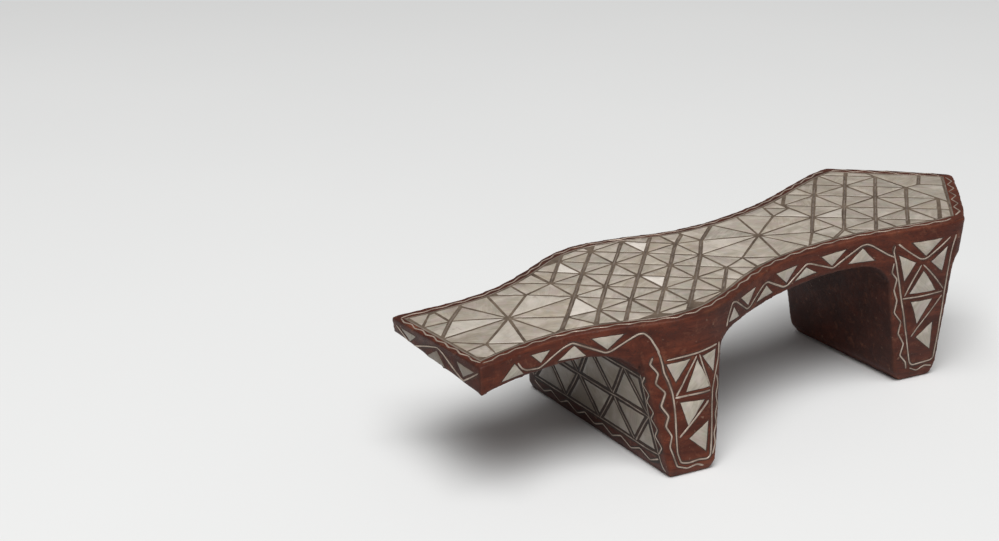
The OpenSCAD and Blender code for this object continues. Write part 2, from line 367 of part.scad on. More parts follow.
// ---- tiles and wires of the top face ----
module toe_star_tiles() tiles_top(TOE_STAR);
module toe_corner_tiles() tiles_top(TOE_CORNERS);
module ball_front_tiles() tiles_top(BALL_FRONT);
module ball_lattice_tiles() tiles_top(BALL);
module waist_front_tiles() tiles_top(WAIST_FRONT);
module waist_star_tiles() tiles_top(WAIST_STAR);
module waist_rear_tiles() tiles_top(WAIST_REAR);
module heel_lattice_tiles() tiles_top(HEEL);
module heel_tip_tiles() tiles_top(HEEL_TIP);
module top_cross_wires() color(wire_c) wires_top(CROSS, 0, wire_d);
module top_liner_wire() color(wire_c) intersection() { wires_top(LINER, 0, wire_d); field_prism(); }
module top_border_wire() color(wire_c) wires_top(BORDER, 0, wire_d);

// ---- tiles and wires of the flanks, stilts and ends ----
module toe_frieze_tiles(s) color(shell_c) sd(s) flank(TOE_SIDE, [TOE_SIDE_WIRE], tile_t);
module toe_frieze_wire(s) color(wire_c) sd(s) flank([strip(TOE_SIDE_WIRE)], [], wire_d);
module arch_tiles(s) color(shell_c) sd(s) flank(ARCH_SIDE, [ARCH_WIRE], tile_t);
module arch_wire(s) color(wire_c) sd(s) flank([strip(ARCH_WIRE)], [], wire_d);
module front_stilt_tiles(s) color(shell_c) sd(s) fs_flank(FS_SIDE, FS_WIRES, tile_t);
module front_stilt_wires(s) color(wire_c) sd(s) fs_flank(strips(FS_WIRES), [], wire_d);
module rear_stilt_tiles(s) color(shell_c) sd(s) rs_flank(RS_SIDE, RS_WIRES, tile_t);
module rear_stilt_wires(s) color(wire_c) sd(s) rs_flank(strips(RS_WIRES), [], wire_d);
module heel_edge_tiles(s) color(shell_c) sd(s) heel_frame() heel_prisms(HEEL_EDGE, [HEEL_EDGE_WIRE], tile_t);
module heel_edge_wire(s) color(wire_c) sd(s) heel_frame() heel_prisms([strip(HEEL_EDGE_WIRE)], [], wire_d);
module left_toe_frieze_tiles() toe_frieze_tiles(1);
module right_toe_frieze_tiles() toe_frieze_tiles(-1);
module left_toe_frieze_wire() toe_frieze_wire(1);
module right_toe_frieze_wire() toe_frieze_wire(-1);
module left_arch_tiles() arch_tiles(1);
module right_arch_tiles() arch_tiles(-1);
module left_arch_wire() arch_wire(1);
module right_arch_wire() arch_wire(-1);
module left_front_stilt_tiles() front_stilt_tiles(1);
module right_front_stilt_tiles() front_stilt_tiles(-1);
module left_front_stilt_wires() front_stilt_wires(1);
module right_front_stilt_wires() front_stilt_wires(-1);
module left_rear_stilt_tiles() rear_stilt_tiles(1);
module right_rear_stilt_tiles() rear_stilt_tiles(-1);
module left_rear_stilt_wires() rear_stilt_wires(1);
module right_rear_stilt_wires() rear_stilt_wires(-1);
module left_heel_edge_tiles() heel_edge_tiles(1);
module right_heel_edge_tiles() heel_edge_tiles(-1);
module left_heel_edge_wire() heel_edge_wire(1);
module right_heel_edge_wire() heel_edge_wire(-1);
module front_stilt_face_tiles() color(shell_c) face(FACE_F, FACE_F_WIRES, FS_FRONT, -tile_t, 0);
module front_stilt_face_wires() color(wire_c) face(strips(FACE_F_WIRES), [], FS_FRONT, -wire_d, 0);
module rear_stilt_back_tiles() color(shell_c) face(FACE_B, FACE_B_WIRES, RS_REAR, 0, tile_t);
module rear_stilt_back_wires() color(wire_c) face(strips(FACE_B_WIRES), [], RS_REAR, 0, wire_d);
module toe_end_tiles() color(shell_c) face(TOE_END, [TOE_END_WIRE], TOE_EDGE, -tile_t, 0);
module toe_end_wire() color(wire_c) face([strip(TOE_END_WIRE)], [], TOE_EDGE, -wire_d, 0);

wood_body();
top_mastic_bed();
toe_star_tiles();
toe_corner_tiles();
ball_front_tiles();
ball_lattice_tiles();
waist_front_tiles();
waist_star_tiles();
waist_rear_tiles();
heel_lattice_tiles();
heel_tip_tiles();
top_cross_wires();
top_liner_wire();
top_border_wire();
toe_end_tiles();
toe_end_wire();
left_toe_frieze_tiles();
right_toe_frieze_tiles();
left_arch_tiles();
right_arch_tiles();
left_front_stilt_tiles();
right_front_stilt_tiles();
left_rear_stilt_tiles();
right_rear_stilt_tiles();
left_toe_frieze_wire();
right_toe_frieze_wire();
left_arch_wire();
right_arch_wire();
left_front_stilt_wires();
right_front_stilt_wires();
left_rear_stilt_wires();
right_rear_stilt_wires();
front_stilt_face_tiles();
front_stilt_face_wires();
rear_stilt_back_tiles();
rear_stilt_back_wires();
left_heel_edge_tiles();
right_heel_edge_tiles();
left_heel_edge_wire();
right_heel_edge_wire();
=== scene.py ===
import math

import bpy
import numpy as np
from mathutils import Matrix, Vector
from mathutils.bvhtree import BVHTree
from mathutils.geometry import delaunay_2d_cdt


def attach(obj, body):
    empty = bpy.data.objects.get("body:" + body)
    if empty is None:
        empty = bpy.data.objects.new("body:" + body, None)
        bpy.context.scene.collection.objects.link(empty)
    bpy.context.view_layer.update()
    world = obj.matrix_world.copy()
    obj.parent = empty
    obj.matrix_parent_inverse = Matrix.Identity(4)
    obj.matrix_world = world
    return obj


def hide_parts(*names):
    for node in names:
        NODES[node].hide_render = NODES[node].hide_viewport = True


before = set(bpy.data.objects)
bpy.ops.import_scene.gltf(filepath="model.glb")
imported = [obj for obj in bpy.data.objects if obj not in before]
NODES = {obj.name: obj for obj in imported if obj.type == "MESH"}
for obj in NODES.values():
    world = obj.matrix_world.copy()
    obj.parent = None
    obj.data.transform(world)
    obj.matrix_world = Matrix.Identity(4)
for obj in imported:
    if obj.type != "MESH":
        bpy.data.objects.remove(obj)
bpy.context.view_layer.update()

# ------------------------------------------------------------------ numbers
# All lengths below are in millimetres, in the frame of the CAD model.
OUT = [(120, 29.2), (112, 27.4), (104, 25.8), (96, 25.0), (88, 25.2), (80, 26.4), (72, 28.8),
       (64, 32.0), (56, 36.0), (50, 38.6), (44, 40.0), (38, 40.2), (32, 39.4), (24, 36.8),
       (16, 33.6), (8, 30.0), (0, 27.2), (-8, 25.4), (-16, 24.6), (-24, 24.6), (-32, 25.2),
       (-40, 26.4), (-48, 28.2), (-56, 30.6), (-64, 33.2), (-72, 35.8), (-80, 37.8), (-85, 38.4)]
HC = np.array([-88.0, 38.2])
HT = np.array([-120.0, 1.2])
TOP = [(120, 51.4), (90, 53.2), (60, 55.1), (30, 57.2), (0, 59.4), (-30, 61.8), (-60, 64.0),
       (-90, 65.9), (-120, 67.2)]
UNDER_TOE = [(120, 42.4), (100, 43.0), (88, 43.9), (78, 44.6), (71, 44.4), (66, 43.2), (62, 40.8), (59.6, 37.6)]
UNDER_ARCH = [(29.2, 39.4), (27.4, 42.6), (24.6, 45.2), (19, 46.4), (10, 46.6), (0, 46.9), (-10, 47.9), (-20, 49.1),
              (-30, 50.1), (-40, 50.9), (-48, 51.2), (-52.5, 50.2), (-55.6, 47.6), (-57.7, 44)]
UNDER_HEEL = [(-84.9, 47.6), (-86.6, 50.6), (-89.5, 52.6), (-95, 53.8), (-120, 55.2)]
WIRE_W = 0.6
SEED = 11


def vhash(i, j, k, seed):
    """A repeatable random number between 0 and 1 for each lattice point."""
    h = (i * 374761393 + j * 668265263 + k * 2147483647 + seed * 974711) & 0xFFFFFFFF
    h = ((h ^ (h >> 13)) * 1274126177) & 0xFFFFFFFF
    h = h ^ (h >> 16)
    return (h & 0xFFFFFF) / float(0xFFFFFF)


def vnoise(P, size, seed=0):
    """Smooth noise between -1 and 1 with features about size mm across."""
    q = np.asarray(P, float) / size
    f = np.floor(q).astype(np.int64)
    t = q - f
    t = t * t * (3 - 2 * t)
    r = 0
    for dx in (0, 1):
        for dy in (0, 1):
            for dz in (0, 1):
                w = (t[:, 0] if dx else 1 - t[:, 0]) * (t[:, 1] if dy else 1 - t[:, 1]) * (t[:, 2] if dz else 1 - t[:, 2])
                r = r + w * vhash(f[:, 0] + dx, f[:, 1] + dy, f[:, 2] + dz, seed)
    return 2 * r - 1


def gauss(a, s):
    """Gaussian smoothing along a line, with the ends carried straight on."""
    n = int(4 * s) + 1
    k = np.exp(-0.5 * (np.arange(-n, n + 1) / s) ** 2)
    k /= k.sum()
    lo = 2 * a[0] - a[1:n + 1][::-1]
    hi = 2 * a[-1] - a[-n - 1:-1][::-1]
    return np.convolve(np.concatenate([lo, a, hi]), k, "valid")


def table(pts, x):
    p = sorted(pts)
    return np.interp(x, [q[0] for q in p], [q[1] for q in p])


# ------------------------------------------------------------------ the carved block
STEP = 0.5
X = np.arange(-120, 120 + 1e-6, STEP)


def half_width():
    xs = np.arange(-85, 120 + 1e-6, STEP)
    side = gauss(table(OUT, xs), 4.0)
    heel = np.interp(X[X < -85], [-120, -112, -105, -97, -88, -85], [1.2, 11.0, 19.5, 28.6, 38.2, side[0]])
    return np.concatenate([heel, side])


def top_height():
    return gauss(table(TOP, X), 14.0)


def under_height():
    z = np.full(len(X), 46.0)
    z[X < 0] = 52.0
    for pts in (UNDER_TOE, UNDER_ARCH, UNDER_HEEL):
        lo, hi = min(p[0] for p in pts), max(p[0] for p in pts)
        m = (X >= lo) & (X <= hi)
        z[m] = gauss(table(pts, X[m]), 3.0)
    return z


W = half_width()
ZT = top_height()
ZU = under_height()


def draw_in(x):
    """How far the lower edge of the heel lies inside its upper edge."""
    return 1.7 * np.clip((-72 - x) / 16, 0, 1) ** 1.5


def sole_shell():
    V, F = [], []
    for x, w, zt, zu in zip(X, W, ZT, ZU):
        d = float(draw_in(x))
        lw = max(w - d * (1.35 if x < -88 else 1.0), 0.4)
        lx = x + 1.4 * max(0.0, min(1.0, (-108 - x) / 12))
        t = max(0.0, min(1.0, (x - 108) / 12)) ** 1.5
        V += [(x - 1.7 * t, w - 2.4 * t, zt), (lx - 0.4 * t, lw + 0.7 * t, zu), (lx + 0.6 * t, -lw, zu + 2.6 * t), (x + 2.0 * t, 1.4 * t - w, zt)]
    n = len(X)
    for i in range(n - 1):
        a, b = 4 * i, 4 * i + 4
        for k in range(4):
            F.append((a + k, a + (k + 1) % 4, b + (k + 1) % 4, b + k))
    F.append((0, 3, 2, 1))
    e = 4 * (n - 1)
    F.append((e, e + 1, e + 2, e + 3))
    return V, F


def stilt_shell(front, rear, foot, up):
    """Convex block from the foot to a level inside the sole."""
    import bmesh
    P = []
    for i in (0, 1):
        for x, y in ((front[i][0], foot[i][0]), (rear[i][0], foot[i][1])):
            P += [(x, y, front[i][1]), (x, -y, front[i][1])]
    z = front[2][1]
    xs = np.arange(rear[2][0], front[2][0] + 1e-6, 1.0)
    for x in xs:
        y = float(np.interp(x, X, W) - draw_in(x) * 0.95)
        P += [(x, y, z), (x, -y, z)]
        if rear[2][0] + 1.2 < x < front[2][0] - 1.2:
            P += [(x, y - 1.0, z + up), (x, 1.0 - y, z + up)]
    bm = bmesh.new()
    for p in P:
        bm.verts.new(p)
    bmesh.ops.convex_hull(bm, input=bm.verts)
    for v in [v for v in bm.verts if not v.link_faces]:
        bm.verts.remove(v)
    bm.verts.index_update()
    V = [tuple(v.co) for v in bm.verts]
    F = [tuple(v.index for v in f.verts) for f in bm.faces]
    bm.free()
    return V, F


def joined(parts):
    V, F = [], []
    for v, f in parts:
        n = len(V)
        V += list(v)
        F += [tuple(i + n for i in q) for q in f]
    return V, F


def edges_of(F):
    E = np.concatenate([F[:, [0, 1]], F[:, [1, 2]], F[:, [2, 3]], F[:, [3, 0]]])
    E = np.unique(np.sort(E, axis=1), axis=0)
    return E[E[:, 0] != E[:, 1]]


def smooth(P, E, steps, weight):
    n = len(P)
    deg = np.bincount(E.ravel(), minlength=n).astype(float)[:, None]
    P = P.copy()
    for _ in range(steps):
        S = np.empty_like(P)
        for k in range(3):
            S[:, k] = np.bincount(E[:, 0], P[E[:, 1], k], n) + np.bincount(E[:, 1], P[E[:, 0], k], n)
        P += (S / deg - P) * weight
    return P


def face_normals(P, F):
    n = np.cross(P[F[:, 2]] - P[F[:, 0]], P[F[:, 3]] - P[F[:, 1]])
    N = np.zeros_like(P)
    for k in range(4):
        for c in range(3):
            N[:, c] += np.bincount(F[:, k], n[:, c], len(P))
    return N / np.maximum(np.linalg.norm(N, axis=1), 1e-9)[:, None]


def carve_block():
    shells = [sole_shell(),
              stilt_shell([(53.5, 0), (54.8, 3), (60.2, 46)], [(37.4, 0), (35.8, 3), (27.6, 46)], [(44.4, 46.2), (45.2, 47.3)], 3.0),
              stilt_shell([(-68.5, 0), (-65.3, 4), (-56, 52)], [(-83.2, 0), (-84.6, 4), (-85.6, 52)], [(29.6, 31.4), (30.4, 32.4)], 3.0)]
    V, F = joined(shells)
    me = bpy.data.meshes.new("block_raw")
    me.from_pydata(V, [], F)
    o = bpy.data.objects.new("block_raw", me)
    bpy.context.scene.collection.objects.link(o)
    m = o.modifiers.new("remesh", "REMESH")
    m.mode = "VOXEL"
    m.voxel_size = 0.5
    m.adaptivity = 0.0
    bpy.context.view_layer.update()
    ev = o.evaluated_get(bpy.context.evaluated_depsgraph_get())
    em = ev.to_mesh()
    P = np.empty(len(em.vertices) * 3)
    em.vertices.foreach_get("co", P)
    P = P.reshape(-1, 3)
    Q = np.empty(len(em.loops), np.int64)
    em.loops.foreach_get("vertex_index", Q)
    Q = Q.reshape(-1, 4)
    ev.to_mesh_clear()
    bpy.data.objects.remove(o)
    bpy.data.meshes.remove(me)
    E = edges_of(Q)
    raw = P.copy()
    base = smooth(P, E, 4, 0.5)
    soft = smooth(base, E, 16, 0.5)
    # More wear on the feet, on the corners of the toe and heel, and unevenly along every edge.
    w = 0.30 + 0.35 * vnoise(raw, 17.0, 3) + 0.25 * vnoise(raw, 5.0, 4)
    w += np.clip((7 - raw[:, 2]) / 5, 0, 1) * 0.25
    w += np.clip((np.abs(raw[:, 0]) - 112) / 8, 0, 1) * 0.1
    w = np.clip(w, 0, 1)[:, None]
    P = base * (1 - w) + soft * w
    N = face_normals(P, Q)
    bend = ((raw - P) * N).sum(1)
    wear = np.clip(bend / 0.5, 0, 1)
    # Concave creases: the wood is darkened there with painted shade, partly grime.
    crease_shade_and_grime = np.clip(-bend / 0.5, 0, 1)
    # Knife and handling marks: low swells, faint facets and small dents on the worn edges.
    d = 0.10 * vnoise(P, 22.0, 5) + 0.045 * vnoise(P * [0.35, 1, 1], 4.0, 6)
    nick = vnoise(P, 2.6, 7) + 0.5 * vnoise(P, 6.5, 8)
    d -= 0.42 * np.clip(nick - 0.62, 0, 0.5) * np.clip(wear * 1.6, 0, 1)
    dent = np.clip(vnoise(P, 4.2, 9) - 0.72, 0, 1) * np.clip(1 - wear, 0, 1)
    d -= 0.5 * dent
    foot = P[:, 2] < 1.0
    d[foot] *= 0.15
    P = P + N * d[:, None]
    P[:, 2] = np.maximum(P[:, 2], 0.0)
    return P, Q, wear, crease_shade_and_grime


P_BODY, Q_BODY, WEAR, CREASE_SHADE_AND_GRIME = carve_block()
BVH = BVHTree.FromPolygons([tuple(p) for p in P_BODY], [tuple(int(i) for i in q) for q in Q_BODY])


# ------------------------------------------------------------------ layout planes
class Plane:
    """A flat layout seen along one direction: (u, v) in, a point of the carved surface out."""

    def __init__(self, at, du, dv, out, far=60.0, slack=9.0):
        self.at, self.du, self.dv, self.out = (np.array(a, float) for a in (at, du, dv, out))
        self.far = far
        self.slack = slack
        self.bend = None
        self.flip = np.dot(np.cross(self.du, self.dv), self.out) < 0
        self.cache = {}

    def surface(self, u, v):
        if self.bend:
            u, v = self.bend(u, v)
        p = self.at + self.du * u + self.dv * v
        o = p + self.out * self.far
        h = BVH.ray_cast(Vector(o), Vector(-self.out), 2 * self.far + 80)
        if h[0] is None or (np.array(h[0]) - o) @ -self.out > self.far + self.slack:
            h = BVH.find_nearest(Vector(p))
        return np.array(h[0])

    def place(self, uvh):
        return [self.surface(u, v) + self.out * h for u, v, h in uvh]

    def uv(self, p):
        q = np.asarray(p, float) - self.at
        return np.stack([q @ self.du, q @ self.dv], axis=-1)


E_H = (HT - HC) / np.linalg.norm(HT - HC)
PLANES = {
    "top": Plane((0, 0, 60), (1, 0, 0), (0, 1, 0), (0, 0, 1), 40),
    "left": Plane((0, 38, 0), (1, 0, 0), (0, 0, 1), (0, 1, 0), 40, 16.5),
    "right": Plane((0, -38, 0), (1, 0, 0), (0, 0, 1), (0, -1, 0), 40, 16.5),
    "front": Plane((57, 0, 0), (0, 1, 0), (0, 0, 1), (1, 0, 0), 14),
    "back": Plane((-85, 0, 0), (0, 1, 0), (0, 0, 1), (-1, 0, 0), 14),
    "toe": Plane((120, 0, 0), (0, 1, 0), (0, 0, 1), (1, 0, 0), 14),
    "heel_l": Plane((HC[0], HC[1], 0), (E_H[0], E_H[1], 0), (0, 0, 1), (E_H[1] * 1.0, -E_H[0] * 1.0, 0), 14),
    "heel_r": Plane((HC[0], -HC[1], 0), (E_H[0], -E_H[1], 0), (0, 0, 1), (E_H[1], E_H[0], 0), 14),
}


def skewed(u, v):
    """The toe is cut a little askew, so the layout near it is turned to match."""
    t = min(1.0, max(0.0, (u - 98) / 20))
    return u + (0.3 - 0.072 * v) * t, v * (1 - 0.055 * t)


PLANES["top"].bend = skewed
for k in ("heel_l", "heel_r"):
    P = PLANES[k]
    mid = P.at + P.du * 24
    if np.dot(P.out, mid - np.array([-90.0, 0, 0])) < 0:
        P.out = -P.out
        P.flip = np.dot(np.cross(P.du, P.dv), P.out) < 0


# ------------------------------------------------------------------ 2-D helpers
def hull2(pts):
    pts = sorted(set((round(float(p[0]), 4), round(float(p[1]), 4)) for p in pts))

    def half(seq):
        h = []
        for p in seq:
            while len(h) > 1 and (h[-1][0] - h[-2][0]) * (p[1] - h[-2][1]) - (h[-1][1] - h[-2][1]) * (p[0] - h[-2][0]) <= 1e-4:
                h.pop()
            h.append(p)
        return h[:-1]

    return np.array(half(pts) + half(pts[::-1]))


def tidy(P, near=0.35):
    """Drops corners that lie almost on top of the one before."""
    out = []
    for p in P:
        if not out or np.linalg.norm(p - out[-1]) > near:
            out.append(p)
    while len(out) > 3 and np.linalg.norm(out[0] - out[-1]) < near:
        out.pop()
    return np.array(out)


def inset(P, b):
    """Convex polygon, anticlockwise, with each edge moved in by b (out if negative)."""
    n = len(P)
    e = [(P[(i + 1) % n] - P[i]) / np.linalg.norm(P[(i + 1) % n] - P[i]) for i in range(n)]
    nn = [np.array([-d[1], d[0]]) for d in e]
    Q = []
    for i in range(n):
        a, c = i - 1, i
        m = nn[a] + nn[c]
        k = max(float(m @ m) / 2, 0.16)
        Q.append(P[i] + m / k * b)
    return np.array(Q)


def along_edges(P, counts):
    out = []
    for i, c in enumerate(counts):
        a, b = P[i], P[(i + 1) % len(P)]
        out += [a + (b - a) * k / c for k in range(c)]
    return np.array(out)


def inside(q, P):
    x, y = q
    c = False
    j = len(P) - 1
    for i in range(len(P)):
        if (P[i][1] > y) != (P[j][1] > y) and x < (P[j][0] - P[i][0]) * (y - P[i][1]) / (P[j][1] - P[i][1]) + P[i][0]:
            c = not c
        j = i
    return c


def fill(ring, step, margin):
    """Points and triangles that fill a ring: its own points come first, in order."""
    lo, hi = ring.min(0), ring.max(0)
    small = margin
    pts = [Vector(p) for p in ring]
    area_in = []
    row = 0
    y = lo[1] + step * 0.5
    seg_a = ring
    seg_b = np.roll(ring, -1, axis=0)
    d = seg_b - seg_a
    L = np.maximum((d ** 2).sum(1), 1e-9)
    while y < hi[1]:
        x = lo[0] + (step * 0.5 if row % 2 else step)
        while x < hi[0]:
            q = np.array([x, y])
            if inside(q, ring):
                t = np.clip(((q - seg_a) * d).sum(1) / L, 0, 1)
                if np.sqrt((((seg_a + d * t[:, None]) - q) ** 2).sum(1)).min() > small:
                    area_in.append(Vector(q))
            x += step
        y += step * 0.87
        row += 1
    n = len(ring)
    V, _, F, _, _, _ = delaunay_2d_cdt(pts + area_in, [(i, (i + 1) % n) for i in range(n)], [], 1, 1e-5)
    return np.array([tuple(v) for v in V]), [tuple(f) for f in F]


class Heap:
    """Gathers many small solids into one mesh, with a tint and a texture map for each."""

    def __init__(self, name):
        self.name = name
        self.V, self.F, self.T, self.U = [], [], [], []

    def add(self, V, F, tint, uv, flip):
        n = len(self.V)
        self.V += [tuple(v) for v in V]
        self.F += [tuple(i + n for i in (f[::-1] if flip else f)) for f in F]
        self.T += [tint] * len(V)
        self.U += [tuple(u) for u in uv]

    def make(self, mat, nodes, sharp=35.0):
        me = bpy.data.meshes.new(self.name)
        me.from_pydata([tuple(c * 0.001 for c in v) for v in self.V], [], self.F)
        me.validate()
        me.update()
        ca = me.color_attributes.new("tint", "FLOAT_COLOR", "POINT")
        ca.data.foreach_set("color", np.array(self.T, np.float32).ravel())
        ul = me.uv_layers.new(name="grain")
        li = np.empty(len(me.loops), np.int64)
        me.loops.foreach_get("vertex_index", li)
        ul.data.foreach_set("uv", np.array(self.U, np.float32)[li].ravel())
        me.polygons.foreach_set("use_smooth", np.ones(len(me.polygons), bool))
        me.set_sharp_from_angle(angle=math.radians(sharp))
        me.materials.append(mat)
        o = bpy.data.objects.new(self.name, me)
        bpy.context.scene.collection.objects.link(o)
        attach(o, "root")
        if nodes:
            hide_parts(*nodes)
        return o


def slab(heap, plane, P, rng, h0, h1, bevel, step=1.7, skirt=0.55, tint=None, jitter=0.0, tilt=0.0, grain=None, ripple=0.0):
    """A thin solid let into the surface, its edge at h0 and its face at h1 above it."""
    P = tidy(np.array(P, float))
    if len(P) < 3:
        return
    if jitter:
        P = P + rng.uniform(-jitter, jitter, P.shape)
    c = P.mean(0)
    r = abs(sum(P[i - 1][0] * P[i][1] - P[i][0] * P[i - 1][1] for i in range(len(P)))) / 2
    per = sum(np.linalg.norm(P[i] - P[i - 1]) for i in range(len(P)))
    b = min(bevel, 0.35 * r / per)
    Q = inset(P, b)
    cnt = [max(1, int(round(np.linalg.norm(P[(i + 1) % len(P)] - P[i]) / step))) for i in range(len(P))]
    ro = along_edges(P, cnt)
    ri = along_edges(Q, cnt)
    n = len(ro)
    if ripple:
        w = rng.uniform(-ripple, ripple, (n, 2))
        ro, ri = ro + w, ri + w
    V2, F2 = fill(ri, step, step * 0.45)
    if len(V2) < n or not F2:
        return
    a = rng.uniform(-tilt, tilt, 2)
    top = [(q[0], q[1], h1 + float((q - c) @ a)) for q in V2]
    edge = [(q[0], q[1], h0) for q in ro]
    low = [(q[0], q[1], -skirt) for q in ro]
    V = plane.place(low + edge + top)
    F = []
    for i in range(n):
        j = (i + 1) % n
        F.append((i, j, n + j, n + i))
        F.append((n + i, n + j, 2 * n + j, 2 * n + i))
    F += [tuple(2 * n + k for k in f) for f in F2]
    F.append(tuple(range(n))[::-1])
    ang = grain if grain is not None else rng.uniform(0, math.pi)
    off = rng.uniform(0, 60, 2)
    R = np.array([[math.cos(ang), -math.sin(ang)], [math.sin(ang), math.cos(ang)]])
    q2 = np.array([(u, v) for u, v, _ in low + edge + top])
    uv = (q2 - c) @ R.T + off
    if tint is None:
        tint = (float(rng.uniform()), float(rng.uniform()), float(rng.uniform()), 0.0)
    heap.add(V, F, tint, uv, plane.flip)


def smooth_path(P, step=0.5, soft=0.5, closed=False):
    """Even points along a path, with its corners rounded."""
    P = np.array(P, float)
    s = np.concatenate([[0], np.cumsum(np.linalg.norm(np.diff(P, axis=0), axis=1))])
    m = max(4, int(s[-1] / step) + 1)
    t = np.linspace(0, s[-1], m)
    q = np.stack([np.interp(t, s, P[:, 0]), np.interp(t, s, P[:, 1])], 1)
    if soft > 0:
        k = soft / step
        q = np.stack([gauss(q[:, 0], k), gauss(q[:, 1], k)], 1) if m > int(4 * k) + 3 else q
    return q


def ribbon(heap, plane, path, rng, width, h, skirt=0.5, step=0.5, soft=0.45, wobble=0.06, vary=0.1, tint=None, edge=0.01, taper=0.8, flat=False):
    """A wire or a line of mastic: a low rounded bar along the path, let into the surface."""
    q = smooth_path(path, step, soft)
    m = len(q)
    if m < 3:
        return
    k = max(1.2, 3.2 / step)
    if wobble:
        w = rng.normal(0, 1, (m, 2))
        for c in (0, 1):
            w[:, c] = gauss(w[:, c], min(k, (m - 2) / 4.5)) if m > 10 else 0
        s = w.std() or 1
        q = q + w / s * wobble
    d = np.gradient(q, axis=0)
    d /= np.maximum(np.linalg.norm(d, axis=1), 1e-9)[:, None]
    nrm = np.stack([-d[:, 1], d[:, 0]], 1)
    v = rng.normal(0, 1, m)
    v = gauss(v, min(k, (m - 2) / 4.5)) if m > 10 else v * 0
    v = 1 + vary * v / (v.std() or 1) * 0.6
    s = np.arange(m) * step
    ends = np.clip(np.minimum(s, s[-1] - s) / taper, 0.0, 1) if taper else np.ones(m)
    hw = width / 2 * np.clip(v, 0.6, 1.5) * (0.45 + 0.55 * ends)
    if flat:
        prof = [(-1, -skirt), (-1, edge), (-0.8, h), (0, h * 1.05), (0.8, h), (1, edge), (1, -skirt)]
    else:
        prof = [(-1, -skirt), (-1, edge), (-0.72, edge + (h - edge) * 0.72), (-0.35, edge + (h - edge) * 0.95), (0, h),
                (0.35, edge + (h - edge) * 0.95), (0.72, edge + (h - edge) * 0.72), (1, edge), (1, -skirt)]
    K = len(prof)
    uvh = []
    uv = []
    for i in range(m):
        for a, z in prof:
            p = q[i] + nrm[i] * a * hw[i]
            z2 = z if z < 0 else edge * 0 + z * (0.25 + 0.75 * ends[i])
            uvh.append((p[0], p[1], z2))
            uv.append((s[i], a * width / 2))
    V = plane.place(uvh)
    F = []
    for i in range(m - 1):
        for j in range(K - 1):
            a = i * K + j
            F.append((a, a + K, a + K + 1, a + 1))
        F.append((i * K + K - 1, (i + 1) * K + K - 1, (i + 1) * K, i * K))
    F.append(tuple(range(K)))
    F.append(tuple((m - 1) * K + j for j in range(K))[::-1])
    if tint is None:
        tint = (float(rng.uniform()), float(rng.uniform()), float(rng.uniform()), 0.0)
    off = rng.uniform(0, 50)
    # The profile runs from the right of the path to its left, so its faces look inward unless turned.
    heap.add(V, F, tint, [(a + off, b) for a, b in uv], not plane.flip)


# ------------------------------------------------------------------ tiles from the CAD nodes
def loose(node):
    """The separate solids of a CAD node, each as its points in millimetres."""
    me = NODES[node].data
    co = np.empty(len(me.vertices) * 3)
    me.vertices.foreach_get("co", co)
    co = co.reshape(-1, 3) * 1000
    key = {}
    idx = np.array([key.setdefault(tuple(np.round(c, 3)), len(key)) for c in co])
    n = len(key)
    root = list(range(n))

    def find(a):
        while root[a] != a:
            root[a] = root[root[a]]
            a = root[a]
        return a

    for p in me.polygons:
        v = [idx[i] for i in p.vertices]
        for b in v[1:]:
            ra, rb = find(v[0]), find(b)
            if ra != rb:
                root[ra] = rb
    groups = {}
    for i, c in zip(idx, co):
        groups.setdefault(find(i), []).append(c)
    out = [np.array(g) for g in groups.values()]
    out.sort(key=lambda g: (round(g[:, 0].mean(), 2), round(g[:, 1].mean(), 2), round(g[:, 2].mean(), 2)))
    return out


# ------------------------------------------------------------------ materials
def new_mat(name):
    m = bpy.data.materials.new(name)
    m.use_nodes = True
    nt = m.node_tree
    nt.nodes.clear()
    out = nt.nodes.new("ShaderNodeOutputMaterial")
    bs = nt.nodes.new("ShaderNodeBsdfPrincipled")
    nt.links.new(bs.outputs[0], out.inputs[0])
    return m, nt, bs


